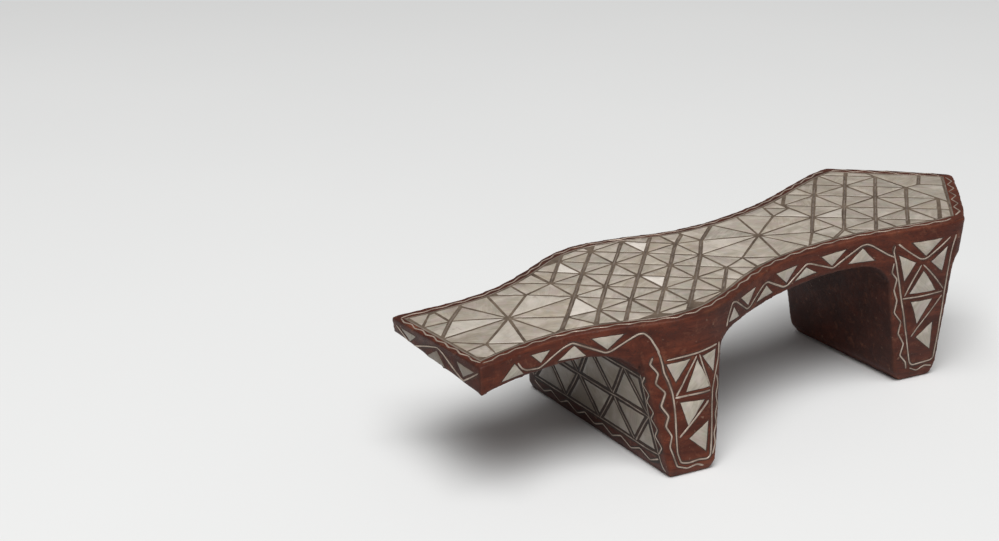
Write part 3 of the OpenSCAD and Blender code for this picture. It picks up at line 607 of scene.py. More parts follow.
class Graph:
    def __init__(self, nt):
        self.nt = nt

    def node(self, kind, **kw):
        n = self.nt.nodes.new(kind)
        for k, v in kw.items():
            setattr(n, k, v)
        return n

    def put(self, sock, val):
        if val is None:
            return
        if hasattr(val, "is_output"):
            self.nt.links.new(val, sock)
        else:
            sock.default_value = val

    def mapping(self, vec, scale=(1, 1, 1), rot=(0, 0, 0), loc=(0, 0, 0)):
        n = self.node("ShaderNodeMapping")
        self.put(n.inputs["Vector"], vec)
        n.inputs["Scale"].default_value = scale
        n.inputs["Rotation"].default_value = rot
        n.inputs["Location"].default_value = loc
        return n.outputs[0]

    def noise(self, vec, scale, detail=4.0, rough=0.55, warp=0.0, out=0):
        n = self.node("ShaderNodeTexNoise")
        self.put(n.inputs["Vector"], vec)
        n.inputs["Scale"].default_value = scale
        n.inputs["Detail"].default_value = detail
        n.inputs["Roughness"].default_value = rough
        n.inputs["Distortion"].default_value = warp
        return n.outputs[out]

    def ramp(self, fac, stops, mode="LINEAR"):
        n = self.node("ShaderNodeValToRGB")
        self.put(n.inputs[0], fac)
        n.color_ramp.interpolation = mode
        el = n.color_ramp.elements
        while len(el) < len(stops):
            el.new(0.5)
        for e, (p, c) in zip(el, stops):
            e.position = p
            e.color = (c, c, c, 1) if isinstance(c, (int, float)) else (*c, 1)
        return n.outputs[0]

    def mix(self, fac, a, b, mode="MIX"):
        n = self.node("ShaderNodeMix", data_type="RGBA", blend_type=mode)
        self.put(n.inputs[0], fac)
        for s, v in ((n.inputs[6], a), (n.inputs[7], b)):
            if isinstance(v, tuple):
                v = (*v, 1) if len(v) == 3 else v
            self.put(s, v)
        return n.outputs[2]

    def math(self, op, a, b=None, clamp=False):
        n = self.node("ShaderNodeMath", operation=op, use_clamp=clamp)
        self.put(n.inputs[0], a)
        if b is not None:
            self.put(n.inputs[1], b)
        return n.outputs[0]

    def remap(self, v, a, b, c, d):
        n = self.node("ShaderNodeMapRange")
        self.put(n.inputs[0], v)
        for i, x in zip((1, 2, 3, 4), (a, b, c, d)):
            n.inputs[i].default_value = x
        return n.outputs[0]

    def attr(self, name, out="Color"):
        n = self.node("ShaderNodeAttribute", attribute_name=name)
        return n.outputs[out]

    def split(self, col):
        n = self.node("ShaderNodeSeparateColor")
        self.put(n.inputs[0], col)
        return n.outputs

    def bump(self, height, dist, strength=1.0, normal=None):
        n = self.node("ShaderNodeBump")
        self.put(n.inputs["Height"], height)
        n.inputs["Distance"].default_value = dist
        n.inputs["Strength"].default_value = strength
        if normal is not None:
            self.put(n.inputs["Normal"], normal)
        return n.outputs[0]

    def coords(self, out="Object"):
        return self.node("ShaderNodeTexCoord").outputs[out]


def wood_material():
    m, nt, bs = new_mat("wood")
    g = Graph(nt)
    co = g.coords()
    warp = g.noise(co, 14.0, 3.0, 0.5, 0.0, 1)
    bent = g.mix(0.012, co, warp, "ADD")
    # Long grain along the block, drawn out about twelve times.
    grain = g.noise(g.mapping(bent, (9, 110, 110)), 2.2, 8.0, 0.62, 0.6)
    fine = g.noise(g.mapping(bent, (30, 520, 520)), 2.0, 5.0, 0.6, 0.2)
    pores = g.noise(g.mapping(bent, (70, 1500, 1500)), 1.6, 2.0, 0.5)
    blot = g.noise(co, 28.0, 5.0, 0.6, 0.4)
    speck = g.noise(co, 420.0, 3.0, 0.6)
    base = g.ramp(grain, [(0.30, (0.043, 0.0098, 0.0060)), (0.47, (0.084, 0.0192, 0.0100)), (0.60, (0.122, 0.0292, 0.0148)), (0.78, (0.164, 0.0464, 0.0232))])
    base = g.mix(g.remap(fine, 0.35, 0.7, 0.0, 0.55), base, (0.062, 0.017, 0.011))
    base = g.mix(g.remap(pores, 0.30, 0.42, 0.65, 0.0), base, (0.028, 0.010, 0.008))
    base = g.mix(g.remap(blot, 0.50, 0.72, 0.0, 0.6), base, (0.040, 0.016, 0.012))
    base = g.mix(g.remap(blot, 0.28, 0.42, 0.42, 0.0), base, (0.215, 0.066, 0.032))
    tint = g.split(g.attr("tint"))
    wear, dark, crease_shade_and_grime = tint[0], tint[1], tint[2]
    patchy = g.remap(g.noise(co, 90.0, 4.0, 0.65), 0.38, 0.66, 0.0, 1.0)
    base = g.mix(g.math("MULTIPLY", g.math("MULTIPLY", wear, patchy), 0.62), base, (0.235, 0.090, 0.050))
    # Painted shade, partly dirt, from the dark channel: under the sole, on the arch and front stilt faces, the toe end
    # and the rim.
    base = g.mix(g.math("MULTIPLY", dark, g.remap(g.noise(co, 46.0, 4.0, 0.6, 0.3), 0.3, 0.62, 0.95, 0.62)), base, (0.024, 0.011, 0.0095))
    # Painted shade in concave creases, partly grime.
    base = g.mix(g.math("MULTIPLY", crease_shade_and_grime, 0.75), base, (0.020, 0.009, 0.007))
    base = g.mix(g.remap(speck, 0.66, 0.74, 0.0, 0.5), base, (0.26, 0.17, 0.12))
    mott = g.noise(co, 240.0, 5.0, 0.7, 0.5)
    base = g.mix(g.remap(mott, 0.55, 0.70, 0.0, 0.50), base, (0.045, 0.018, 0.013))
    base = g.mix(g.remap(mott, 0.30, 0.44, 0.42, 0.0), base, (0.215, 0.082, 0.045))
    nt.links.new(base, bs.inputs["Base Color"])
    rough = g.remap(g.noise(co, 60.0, 5.0, 0.6), 0.3, 0.7, 0.40, 0.62)
    rough = g.math("SUBTRACT", rough, g.math("MULTIPLY", wear, 0.10))
    nt.links.new(rough, bs.inputs["Roughness"])
    bs.inputs["Specular IOR Level"].default_value = 0.18
    h = g.math("ADD", g.math("MULTIPLY", grain, 0.7), g.math("MULTIPLY", fine, 0.5))
    h = g.math("ADD", h, g.math("MULTIPLY", g.remap(pores, 0.30, 0.42, 0.0, 1.0), 0.35))
    scr = g.noise(g.mapping(co, (500, 60, 120), (0.3, 0.7, 0.4)), 2.5, 3.0, 0.5)
    h = g.math("ADD", h, g.math("MULTIPLY", scr, 0.25))
    nt.links.new(g.bump(h, 0.00022, 0.55), bs.inputs["Normal"])
    return m


def shell_material():
    m, nt, bs = new_mat("shell")
    g = Graph(nt)
    uv = g.coords("UV")
    co = g.coords()
    t = g.split(g.attr("tint"))
    a, b, c = t[0], t[1], t[2]
    glint_and_shade = g.attr("tint", "Alpha")
    warm = g.mix(b, (0.40, 0.335, 0.255), (0.44, 0.385, 0.315))
    cool = g.mix(b, (0.315, 0.295, 0.250), (0.455, 0.405, 0.335))
    base = g.mix(c, warm, cool)
    # The first channel darkens a chip: grime at random on the top and flanks, and painted shade with grime on the
    # front stilt face and toe end, where it is set low.
    base = g.mix(g.remap(a, 0.0, 1.0, 0.42, 0.0), base, (0.165, 0.132, 0.100))
    # Growth lines: long streaks that run across each chip in its own direction.
    streak = g.noise(g.mapping(uv, (0.10, 1.3, 1)), 1.0, 6.0, 0.62, 0.5)
    thin = g.noise(g.mapping(uv, (0.28, 6.5, 1)), 1.0, 4.0, 0.6, 0.3)
    cloud = g.noise(g.mapping(uv, (0.22, 0.22, 1)), 1.0, 4.0, 0.55, 0.8)
    base = g.mix(g.remap(streak, 0.40, 0.70, 0.0, 0.55), base, (0.54, 0.490, 0.410))
    base = g.mix(g.remap(streak, 0.26, 0.42, 0.50, 0.0), base, (0.26, 0.225, 0.180))
    base = g.mix(g.remap(thin, 0.30, 0.46, 0.34, 0.0), base, (0.25, 0.220, 0.185))
    base = g.mix(g.remap(cloud, 0.46, 0.66, 0.0, 0.52), base, (0.43, 0.340, 0.325))
    # Painted sheen: a soft light patch across each chip, with darker patches elsewhere.
    sheen_and_darkening = g.noise(g.mapping(uv, (0.13, 0.19, 1), (0, 0, 0.8), (5, 9, 0)), 1.0, 2.0, 0.5, 0.6)
    base = g.mix(g.remap(sheen_and_darkening, 0.50, 0.70, 0.0, 0.55), base, (0.60, 0.545, 0.480))
    base = g.mix(g.remap(sheen_and_darkening, 0.28, 0.46, 0.40, 0.0), base, (0.235, 0.190, 0.150))
    base = g.mix(g.remap(g.noise(g.mapping(uv, (0.15, 0.5, 1), (0, 0, 0.5)), 1.0, 3.0, 0.5, 1.2), 0.48, 0.72, 0.0, 0.30), base, (0.315, 0.355, 0.285))
    base = g.mix(g.remap(g.noise(g.mapping(uv, (0.5, 0.2, 1), (0, 0, 1.1), (7, 3, 0)), 1.0, 3.0, 0.5, 1.0), 0.54, 0.76, 0.0, 0.26), base, (0.36, 0.375, 0.395))
    # Painted glint: chips with a positive value are lightened toward a pale colour.
    base = g.mix(g.math("MULTIPLY", glint_and_shade, g.remap(cloud, 0.25, 0.55, 0.65, 1.0), True), base, (0.78, 0.73, 0.67))
    # Painted shade: chips with a negative value are darkened, strongly on the front stilt face and the toe end, a
    # little on the top toward the heel and toe.
    base = g.mix(g.math("MULTIPLY", glint_and_shade, -1.0, True), base, (0.105, 0.080, 0.058))
    # Brown dirt in scratches and pits, and along the edges of old chips.
    pit = g.noise(co, 260.0, 5.0, 0.7, 0.4)
    base = g.mix(g.remap(pit, 0.60, 0.74, 0.0, 0.55), base, (0.16, 0.125, 0.095))
    scr = g.noise(g.mapping(co, (1400, 90, 200), (0.2, 0.1, 0.9)), 1.2, 2.0, 0.5)
    base = g.mix(g.remap(scr, 0.66, 0.74, 0.0, 0.35), base, (0.22, 0.190, 0.155))
    nt.links.new(base, bs.inputs["Base Color"])
    nt.links.new(g.remap(g.noise(g.mapping(uv, (0.5, 1.6, 1)), 1.0, 4.0, 0.6), 0.3, 0.7, 0.30, 0.50), bs.inputs["Roughness"])
    bs.inputs["Specular IOR Level"].default_value = 0.55
    bs.inputs["Coat Weight"].default_value = 0.12
    bs.inputs["Coat Roughness"].default_value = 0.22
    bs.inputs["Sheen Weight"].default_value = 0.0
    h = g.math("ADD", g.math("MULTIPLY", streak, 0.8), g.math("MULTIPLY", thin, 0.35))
    h = g.math("ADD", h, g.math("MULTIPLY", g.remap(pit, 0.60, 0.74, 1.0, 0.0), 0.4))
    nt.links.new(g.bump(h, 0.00016, 0.5), bs.inputs["Normal"])
    return m


def wire_material(name, light, mid, dark):
    m, nt, bs = new_mat(name)
    g = Graph(nt)
    co = g.coords()
    uv = g.coords("UV")
    t = g.split(g.attr("tint"))
    n1 = g.noise(co, 170.0, 4.0, 0.6, 0.3)
    n2 = g.noise(g.mapping(uv, (0.35, 2.0, 1)), 1.0, 3.0, 0.6)
    base = g.ramp(n1, [(0.34, dark), (0.50, mid), (0.66, light)])
    base = g.mix(g.remap(n2, 0.52, 0.72, 0.0, 0.55), base, dark)
    base = g.mix(g.math("MULTIPLY", t[0], 0.25), base, mid)
    nt.links.new(base, bs.inputs["Base Color"])
    bs.inputs["Metallic"].default_value = 0.45
    nt.links.new(g.remap(n2, 0.3, 0.7, 0.36, 0.60), bs.inputs["Roughness"])
    hit = g.noise(co, 900.0, 3.0, 0.6)
    nt.links.new(g.bump(hit, 0.00010, 0.6), bs.inputs["Normal"])
    return m


def mastic_material(name, light, dark, crumb):
    m, nt, bs = new_mat(name)
    g = Graph(nt)
    co = g.coords()
    n1 = g.noise(co, 130.0, 5.0, 0.65, 0.3)
    n2 = g.noise(co, 800.0, 4.0, 0.7)
    base = g.ramp(n1, [(0.34, dark), (0.62, light)])
    base = g.mix(g.remap(n2, 0.58, 0.70, 0.0, 0.6), base, crumb)
    nt.links.new(base, bs.inputs["Base Color"])
    nt.links.new(g.remap(n1, 0.3, 0.7, 0.55, 0.85), bs.inputs["Roughness"])
    bs.inputs["Specular IOR Level"].default_value = 0.3
    nt.links.new(g.bump(g.math("ADD", n2, g.math("MULTIPLY", n1, 0.6)), 0.00022, 0.9), bs.inputs["Normal"])
    return m


M_WOOD = wood_material()
M_SHELL = shell_material()
M_WIRE = wire_material("wire", (0.56, 0.470, 0.395), (0.40, 0.325, 0.268), (0.200, 0.148, 0.116))
M_WIRE_TOP = wire_material("wire_top", (0.36, 0.295, 0.245), (0.235, 0.188, 0.155), (0.115, 0.088, 0.070))
M_MASTIC = mastic_material("mastic", (0.150, 0.113, 0.083), (0.070, 0.049, 0.035), (0.25, 0.200, 0.155))
M_WIRE_DIM = wire_material("wire_dim", (0.40, 0.330, 0.280), (0.250, 0.200, 0.165), (0.110, 0.082, 0.065))
# Darker mastic for the front stilt face: the mastic's own dark colour deepened with painted shade.
M_MASTIC_FACE = mastic_material("mastic_face", (0.045, 0.027, 0.020), (0.020, 0.013, 0.011), (0.090, 0.060, 0.045))
M_MASTIC_SIDE = mastic_material("mastic_side", (0.070, 0.034, 0.024), (0.034, 0.018, 0.014), (0.120, 0.075, 0.052))


# ------------------------------------------------------------------ the wood piece
def face_edge(z):
    """Half width of the front stilt's front face at height z."""
    return 45.2 - 0.263 * (z - 3)


def wood_piece():
    me = bpy.data.meshes.new("wood_block")
    n, k = len(P_BODY), len(Q_BODY)
    me.vertices.add(n)
    me.vertices.foreach_set("co", (P_BODY * 0.001).astype(np.float32).ravel())
    me.loops.add(k * 4)
    me.loops.foreach_set("vertex_index", Q_BODY.astype(np.int32).ravel())
    me.polygons.add(k)
    me.polygons.foreach_set("loop_start", np.arange(0, 4 * k, 4, dtype=np.int32))
    me.polygons.foreach_set("use_smooth", np.ones(k, bool))
    me.update(calc_edges=True)
    me.validate()
    P = P_BODY
    N = face_normals(P_BODY, Q_BODY)
    # Painted shade, partly dirt: the hidden faces under the sole are darker than the handled ones, and so are the arch
    # faces of both stilts, the front stilt's front face, the toe end and the top rim; the toe's corners are darkened
    # too.
    dark = np.clip(-N[:, 2] * 1.3, 0, 1) * (P[:, 2] > 8) * 0.75
    # Painted shade on the rear stilt's front face under the arch, deeper higher up and lighter near its edges.
    arch = (P[:, 0] > -66) & (P[:, 0] < -50) & (N[:, 0] > 0.5)
    edge = np.clip((np.interp(P[arch, 2], [4, 52], [31.4, 34.0]) - np.abs(P[arch, 1]) - 1.6) / 1.2, 0.12, 1)
    dark[arch] = np.maximum(dark[arch], edge * np.clip((P[arch, 2] + 30) / 44, 0, 1))
    # Painted shade on the front stilt's back face under the arch.
    arch = (P[:, 0] > 26) & (P[:, 0] < 40) & (N[:, 0] < -0.5)
    dark[arch] = np.maximum(dark[arch], 0.6)
    # Painted shade on the front stilt's front face, deeper toward the far side and lighter at its edges.
    face = (P[:, 0] > 50) & (P[:, 0] < 63) & (N[:, 0] > 0.7) & (P[:, 2] < 42)
    near = np.clip((face_edge(P[face, 2]) - P[face, 1] - 0.6) / 2.6, 0, 1)
    dark[face] = np.maximum(dark[face], (0.62 + 0.36 * np.clip((26 - P[face, 1]) / 55, 0, 1)) * (0.15 + 0.85 * near))
    # Painted shade on the toe end.
    toe = (P[:, 0] > 115) & (N[:, 0] > 0.6)
    dark[toe] = np.maximum(dark[toe], 0.72)
    # The toe's corners are darkened as well.
    corner = (P[:, 0] > 113) & (np.abs(P[:, 1]) > 20) & (P[:, 2] < 57)
    dark[corner] = np.maximum(dark[corner], 0.42)
    # Painted shade on the top rim, deeper on the far side.
    rimw = np.interp(P[:, 0], X, W)
    rim_top = (N[:, 2] > 0.8) & (P[:, 2] > 48) & (np.abs(P[:, 1]) > rimw - 5)
    dark[rim_top] = np.maximum(dark[rim_top], np.where(P[rim_top, 1] < 0, 0.75, 0.35))
    dark *= 0.8 + 0.3 * vnoise(P, 9.0, 21)
    dark = np.clip(dark, 0, 1)
    T = np.stack([WEAR, dark, CREASE_SHADE_AND_GRIME, np.ones(n)], 1)
    ca = me.color_attributes.new("tint", "FLOAT_COLOR", "POINT")
    ca.data.foreach_set("color", T.astype(np.float32).ravel())
    me.materials.append(M_WOOD)
    o = bpy.data.objects.new("wood_block", me)
    bpy.context.scene.collection.objects.link(o)
    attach(o, "root")
    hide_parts("wood_body")
    return o


wood_piece()

# ------------------------------------------------------------------ top face inlay
R = np.random.default_rng(SEED)
TOP_TILES = ["toe_star_tiles", "toe_corner_tiles", "ball_front_tiles", "ball_lattice_tiles", "waist_front_tiles",
             "waist_star_tiles", "waist_rear_tiles", "heel_lattice_tiles", "heel_tip_tiles"]
# Top chips given a painted glint, each with its strength.
GLINT_TILES = [((34.5, 7), 0.9), ((53, -24), 0.8), ((18, -22), 0.85), ((67, 5), 0.6), ((98, 14), 0.22), ((78, -4), 0.30),
          ((-44, -9), 0.22), ((-50, 1.5), 0.3), ((96, -2), 0.3), ((12, -26), 0.45)]
top = PLANES["top"]
for name in TOP_TILES:
    heap = Heap(name.replace("_tiles", "_shell"))
    for g in loose(name):
        P = hull2(top.uv(g))
        if len(P) < 3:
            continue
        c = P.mean(0)
        sheen_and_darkening = max([w for p, w in GLINT_TILES if inside(p, P)] + [0.0])
        # A few other chips get a weaker painted glint at random.
        if sheen_and_darkening == 0 and R.uniform() < 0.10:
            sheen_and_darkening = float(R.uniform(0.08, 0.26))
        # The rest are darkened a little, more toward the heel and the toe.
        if sheen_and_darkening == 0:
            sheen_and_darkening = -float(np.interp(c[0], [-110, -60, -40, 80, 100], [0.13, 0.12, 0.02, 0.0, 0.09])) * float(R.uniform(0.3, 1.7))
        tint = (float(np.clip(R.normal(0.62, 0.26), 0, 1)), float(R.uniform()), float(R.uniform()), sheen_and_darkening)
        slab(heap, top, inset(tidy(P), 0.07), R, 0.02, 0.13, 0.16, step=1.8, tint=tint, jitter=0.14, tilt=0.0045, ripple=0.05)
    heap.make(M_SHELL, [name])


def w_side(x):
    return float(np.interp(x, X, W)) if x > -86 else 39.0


E_OUT = np.array([E_H[1], -E_H[0]])


def rim(d):
    pts = [(117.4 - d, w_side(117.4 - d) - 4 - d)] + [(x, w_side(x) - 4 - d) for x in range(112, -81, -4)]
    q = [HC + E_H * 1.8, HT - E_H * 2.4]
    n = np.array([-E_H[1], E_H[0]])
    if n @ np.array([1.0, -1.0]) < 0:
        n = -n
    return pts + [tuple(p + n * (4 + d)) for p in q]


def flip(P):
    return [(p[0], -p[1]) for p in P[::-1]]


field = rim(0.0) + flip(rim(0.0))
heap = Heap("top_mastic")
ring = np.array(field)
if sum(ring[i - 1][0] * ring[i][1] - ring[i][0] * ring[i - 1][1] for i in range(len(ring))) < 0:
    ring = ring[::-1]


def sheet_solid(heap, plane, ring, h, skirt, step, rng, rough):
    """The bed of mastic: one solid filling a ring, with a slightly uneven face."""
    cnt = [max(1, int(round(np.linalg.norm(ring[(i + 1) % len(ring)] - ring[i]) / step))) for i in range(len(ring))]
    ro = along_edges(ring, cnt)
    V2, F2 = fill(ro, step, step * 0.45)
    n = len(ro)
    z = vnoise(np.c_[V2, np.zeros(len(V2))], 3.0, 41) * rough
    V = plane.place([(q[0], q[1], -skirt) for q in ro] + [(q[0], q[1], h + dz) for q, dz in zip(V2, z)])
    F = [(i, (i + 1) % n, n + (i + 1) % n, n + i) for i in range(n)] + [tuple(n + k for k in f) for f in F2] + [tuple(range(n))[::-1]]
    uv = [(q[0], q[1]) for q in ro] + [(q[0], q[1]) for q in V2]
    heap.add(V, F, (0.5, 0.5, 0.5, 0.0), uv, plane.flip)


sheet_solid(heap, top, ring, 0.035, 0.6, 1.6, R, 0.015)
heap.make(M_MASTIC, ["top_mastic_bed"])

A = [(116.8, 0.5), (108, 13.5), (97, 21), (85.3, 21), (75, 12.7), (63.5, 0), (75.8, -12.4), (86.8, -21), (98.7, -19), (107.4, -10.8)]
B = [(7.6, 0), (-2, 12.4), (-12.7, 21), (-26.6, 21), (-36.1, 11.4), (-46.5, 0), (-36.4, -11), (-26.2, -21), (-13.4, -21), (-1.4, -11)]
K1 = (-101.2, 0.6)
CROSS = [
    [(81.4, 19.4), A[4], A[5], (49.9, -15.2), (36.6, -29.4)],
    [(69.6, 22.6), (63.5, 15.2), (49.9, 0), (35.7, -15.2), (23.6, -28.2)],
    [(60.6, 27.2), (49.9, 15.2), (35.7, 0), (21.4, -15.2), (12, -25.6)],
    [(50.4, 31.0), (35.7, 15.2), (21.4, 0), (7.6, -15), (1.4, -20)],
    [(38.6, 33.6), (35.7, 30.4), (21.4, 15.2), B[0], B[9], (-10.6, -18.2)],
    [(20.4, 29.4), (7.8, 15.6)],
    [(62.8, -16), (49.9, -30.4), (46.6, -34.2)],
    [(115, -2.2), A[9], A[8]],
    [B[4], B[5], (-62.6, -17.2), (-68.8, -24.0)],
    [(-38.8, 21), (-46.5, 17.2), (-62.6, 0), (-78.7, -17.2), (-86.6, -25.6)],
    [(-55.6, 24.7), (-62.6, 17.2), (-78.7, 0), (-94.6, -16.6)],
    [(-69.5, 27), (-78.7, 17.2), (-94.6, 0.6)],
    [K1, (-108.2, -6.2)]]
heap = Heap("top_cross_wire")
for P in CROSS:
    ribbon(heap, top, P, R, 0.58, 0.14, soft=0.3, wobble=0.07, vary=0.14, taper=0.5)
heap.make(M_WIRE_TOP, ["top_cross_wires"])

heap = Heap("top_liner")
r4 = rim(0.4)
for P in (r4, flip(r4), [(r4[0][0], -r4[0][1]), r4[0]], [r4[-1], flip(r4)[0]]):
    ribbon(heap, top, P, R, 0.52, 0.15, soft=0.5, wobble=0.10, vary=0.16, taper=0.4)
heap.make(M_WIRE_DIM, ["top_liner_wire"])

heap = Heap("top_border")
for s in (1, -1):
    P = []
    for i in range(55):
        x = 117.4 - i * 3.72 + R.uniform(-0.45, 0.45)
        P.append((x, s * (w_side(x) - (1.85 if i % 2 else 2.95) + R.uniform(-0.15, 0.15))))
    ribbon(heap, top, P, R, 0.56, 0.17, soft=0.55, wobble=0.05, vary=0.16, taper=0.8)
    P = []
    for i in range(11):
        t = 2.4 + i * 4.3 + R.uniform(-0.3, 0.3)
        d = (1.2 if i % 2 else 3.4) + R.uniform(-0.2, 0.2)
        n = np.array([-E_H[1], E_H[0]])
        if n @ np.array([1.0, -1.0]) < 0:
            n = -n
        q = HC + E_H * t + n * d
        P.append((q[0], s * q[1]))
    ribbon(heap, top, P, R, 0.55, 0.17, soft=0.22, wobble=0.05, vary=0.16, taper=0.8)
P = [(119.2 if i % 2 else 118.2, 25.2 - i * 3.6) for i in range(15)]
P = [(x - 0.4, y) for x, y in P]
ribbon(heap, top, P, R, 0.56, 0.17, soft=0.4, wobble=0.05, vary=0.16, taper=0.8)
heap.make(M_WIRE, ["top_border_wire"])

# ------------------------------------------------------------------ side and face inlay
TOE_SIDE_WIRE = [(103.3, 48.6), (101.6, 46.4), (99.6, 45.2), (94.3, 44.6), (91.4, 46), (85, 49.9), (81.8, 51.1), (78.6, 49.6), (70.4, 45.8), (68.6, 46.4), (60.4, 51.8), (58.6, 52.2), (56.6, 50.2), (55, 46.9), (54.2, 44.9)]
ARCH_WIRE = [(24.6, 47.6), (24, 50.3), (21.4, 55.2), (18.8, 54.6), (11, 48.9), (8.6, 49), (0, 54.5), (-2.1, 54.9), (-10.8, 50.2), (-13.2, 50.4), (-22.1, 56.7), (-24.3, 56.5), (-34.3, 52.8), (-45.7, 59.5), (-48.2, 60), (-50.4, 59.1), (-56.4, 55.2), (-59, 54)]
FS_WIRES = [
    [(54.5, 45.6), (53.6, 43.2), (53.2, 40.7), (53.0, 37.6), (51.9, 34.6), (51, 30.3), (50.7, 21.7), (50.9, 13.9), (50.9, 8.9), (49.8, 5.3), (46.4, 4.6), (42.9, 4.9), (39, 4.4), (37.9, 5.4), (37.1, 11.7), (36, 21.7), (34.8, 28.9), (33, 33.1), (30.4, 38.9), (29.4, 43)],
    [(52, 41.9), (40, 42.6), (30.8, 43.4)], [(40.9, 41.5), (47.4, 32), (50, 29)], [(39.4, 41.4), (36.4, 31.5), (35.8, 29)],
    [(49.8, 28.6), (36, 28.2)], [(49.6, 13.9), (37, 25.2)],
    [(35.8 - 0.191 * (z - 3) + (1.0 if i % 2 else 2.0), z) for i, z in enumerate([32.6 - k * 3.3 for k in range(9)])],
    [(55.9, 43.4), (57.2, 41), (54.9, 37.4), (56.1, 33.9), (53.2, 30.6), (55.2, 26), (53, 22.4), (54.4, 18.9), (52.6, 15.3), (53.6, 11.7), (52.5, 8.5), (51.4, 4.2), (47.4, 2.6), (43.6, 3.4), (40.6, 2.2)]]
RS_WIRES = [
    [(-59, 58.8), (-58.6, 56.7), (-60.2, 51), (-63.2, 38.9), (-65, 31.7), (-67.5, 21.7), (-69.8, 13.1), (-71.6, 7.4), (-73, 6.1), (-82, 6.5), (-83, 7.4), (-83.4, 18.9), (-82.7, 36), (-82.6, 43.9), (-82.9, 52.4), (-84, 59.4)],
    [(-60.2, 58.6), (-69.6, 51.8), (-71.8, 51.8), (-81.6, 58.8)],
    [(-70.2, 49.6), (-65, 37.4)], [(-71, 49.6), (-81.8, 38)], [(-64.8, 35.9), (-81.8, 36.5)], [(-81.8, 34.6), (-70, 18.9)],
    [(-59.4, 51.2), (-58.8, 47.4), (-61, 44.6), (-60.4, 40.1), (-62.2, 35.6), (-61.6, 30.6), (-64.8, 26.3), (-64.2, 21.3), (-67.2, 16.6), (-66.4, 11.7), (-69.6, 8.1), (-70.4, 5)],
    [(-71.9, 4.9), (-75.7, 3.2), (-79, 4.9), (-82.6, 4.2)]]
def face_w(z):
    return 45.2 - 0.263 * (z - 3)


def between(a, b, g=0.7):
    a, b = np.array(a, float), np.array(b, float)
    e = (b - a) / np.linalg.norm(b - a)
    return [tuple(a + e * g), tuple(b - e * g)]


FF_UP = [(-19, 35.2), (2, 35.2), (23, 35.2)]
FF_MID = [(-28, 21), (-7, 21), (14.5, 21), (35.6, 21)]
FF_LOW = [(-17.5, 7.2), (4.5, 7.2), (26, 7.2)]
FACE_F_WIRES = [[(-33, 35.4), (0, 35.0), (33, 35.3)], [(-36, 21.2), (0, 20.8), (36, 21.1)], [(-39.6, 7.0), (0, 7.3), (39.8, 7.0)],
                [(32.6, 36.0), (34.6, 28), (36, 21), (38.2, 13), (40.6, 5.0), (42.2, 1.4)], [(-32.6, 34.5), (-36, 21), (-39.5, 7.9)]]
for i in range(3):
    FACE_F_WIRES += [between(FF_UP[i], FF_MID[i]), between(FF_UP[i], FF_MID[i + 1]), between(FF_MID[i], FF_LOW[i]), between(FF_LOW[i], FF_MID[i + 1])]
FACE_F_WIRES += [between((-32.4, 35.2), FF_MID[0]), between(FF_MID[0], (-39.3, 7.2))]
FACE_F_WIRES += [[(s * (face_w(36 - i * 3.1) - (3.7 if i % 2 else 1.0)), 36 - i * 3.1) for i in range(10)] for s in (1, -1)]
FACE_F_WIRES += [[(40 - i * 5.7, 2.8 if i % 2 else 5.4) for i in range(15)]]
FACE_B_WIRES = [
    [(-29.6, 42.6), (29.6, 42.6)], [(-28.2, 26.8), (28.2, 26.8)], [(-27.2, 9.8), (27.2, 9.8)],
    [(30.2, 42), (28.8, 26), (27.6, 10.4)], [(-30.2, 42), (-28.8, 26), (-27.6, 10.4)],
    [((30.4 if i % 2 else 32.2) - i * 0.24, 44 - i * 4) for i in range(10)],
    [(-((30.4 if i % 2 else 32.2) - i * 0.24), 44 - i * 4) for i in range(10)],
    [(30 - i * 6, 4.4 if i % 2 else 7.2) for i in range(11)]]
TOE_END_WIRE = [(-25.4, 48.6), (-17.5, 43.6), (0.4, 49.4), (18, 43.4), (25.8, 48.8)]
HEEL_EDGE_WIRE = [(2.9, 58.3), (8.1, 63.1), (16.3, 55.9), (24.6, 63.5), (33.1, 56.5), (41.1, 63.7), (46.3, 58.7)]

GROUPS = []
for side in ("left", "right"):
    GROUPS += [(side, side + "_toe_frieze_tiles", side + "_toe_frieze_wire", [TOE_SIDE_WIRE], 0.30),
               (side, side + "_arch_tiles", side + "_arch_wire", [ARCH_WIRE], 0.30),
               (side, side + "_front_stilt_tiles", side + "_front_stilt_wires", FS_WIRES, 0.28),
               (side, side + "_rear_stilt_tiles", side + "_rear_stilt_wires", RS_WIRES, 0.28),
               ("heel_l" if side == "left" else "heel_r", side + "_heel_edge_tiles", side + "_heel_edge_wire", [HEEL_EDGE_WIRE], 0.28)]
GROUPS += [("front", "front_stilt_face_tiles", "front_stilt_face_wires", FACE_F_WIRES, 0.50),
           ("back", "rear_stilt_back_tiles", "rear_stilt_back_wires", FACE_B_WIRES, 0.50),
           ("toe", "toe_end_tiles", "toe_end_wire", [TOE_END_WIRE], 0.35)]

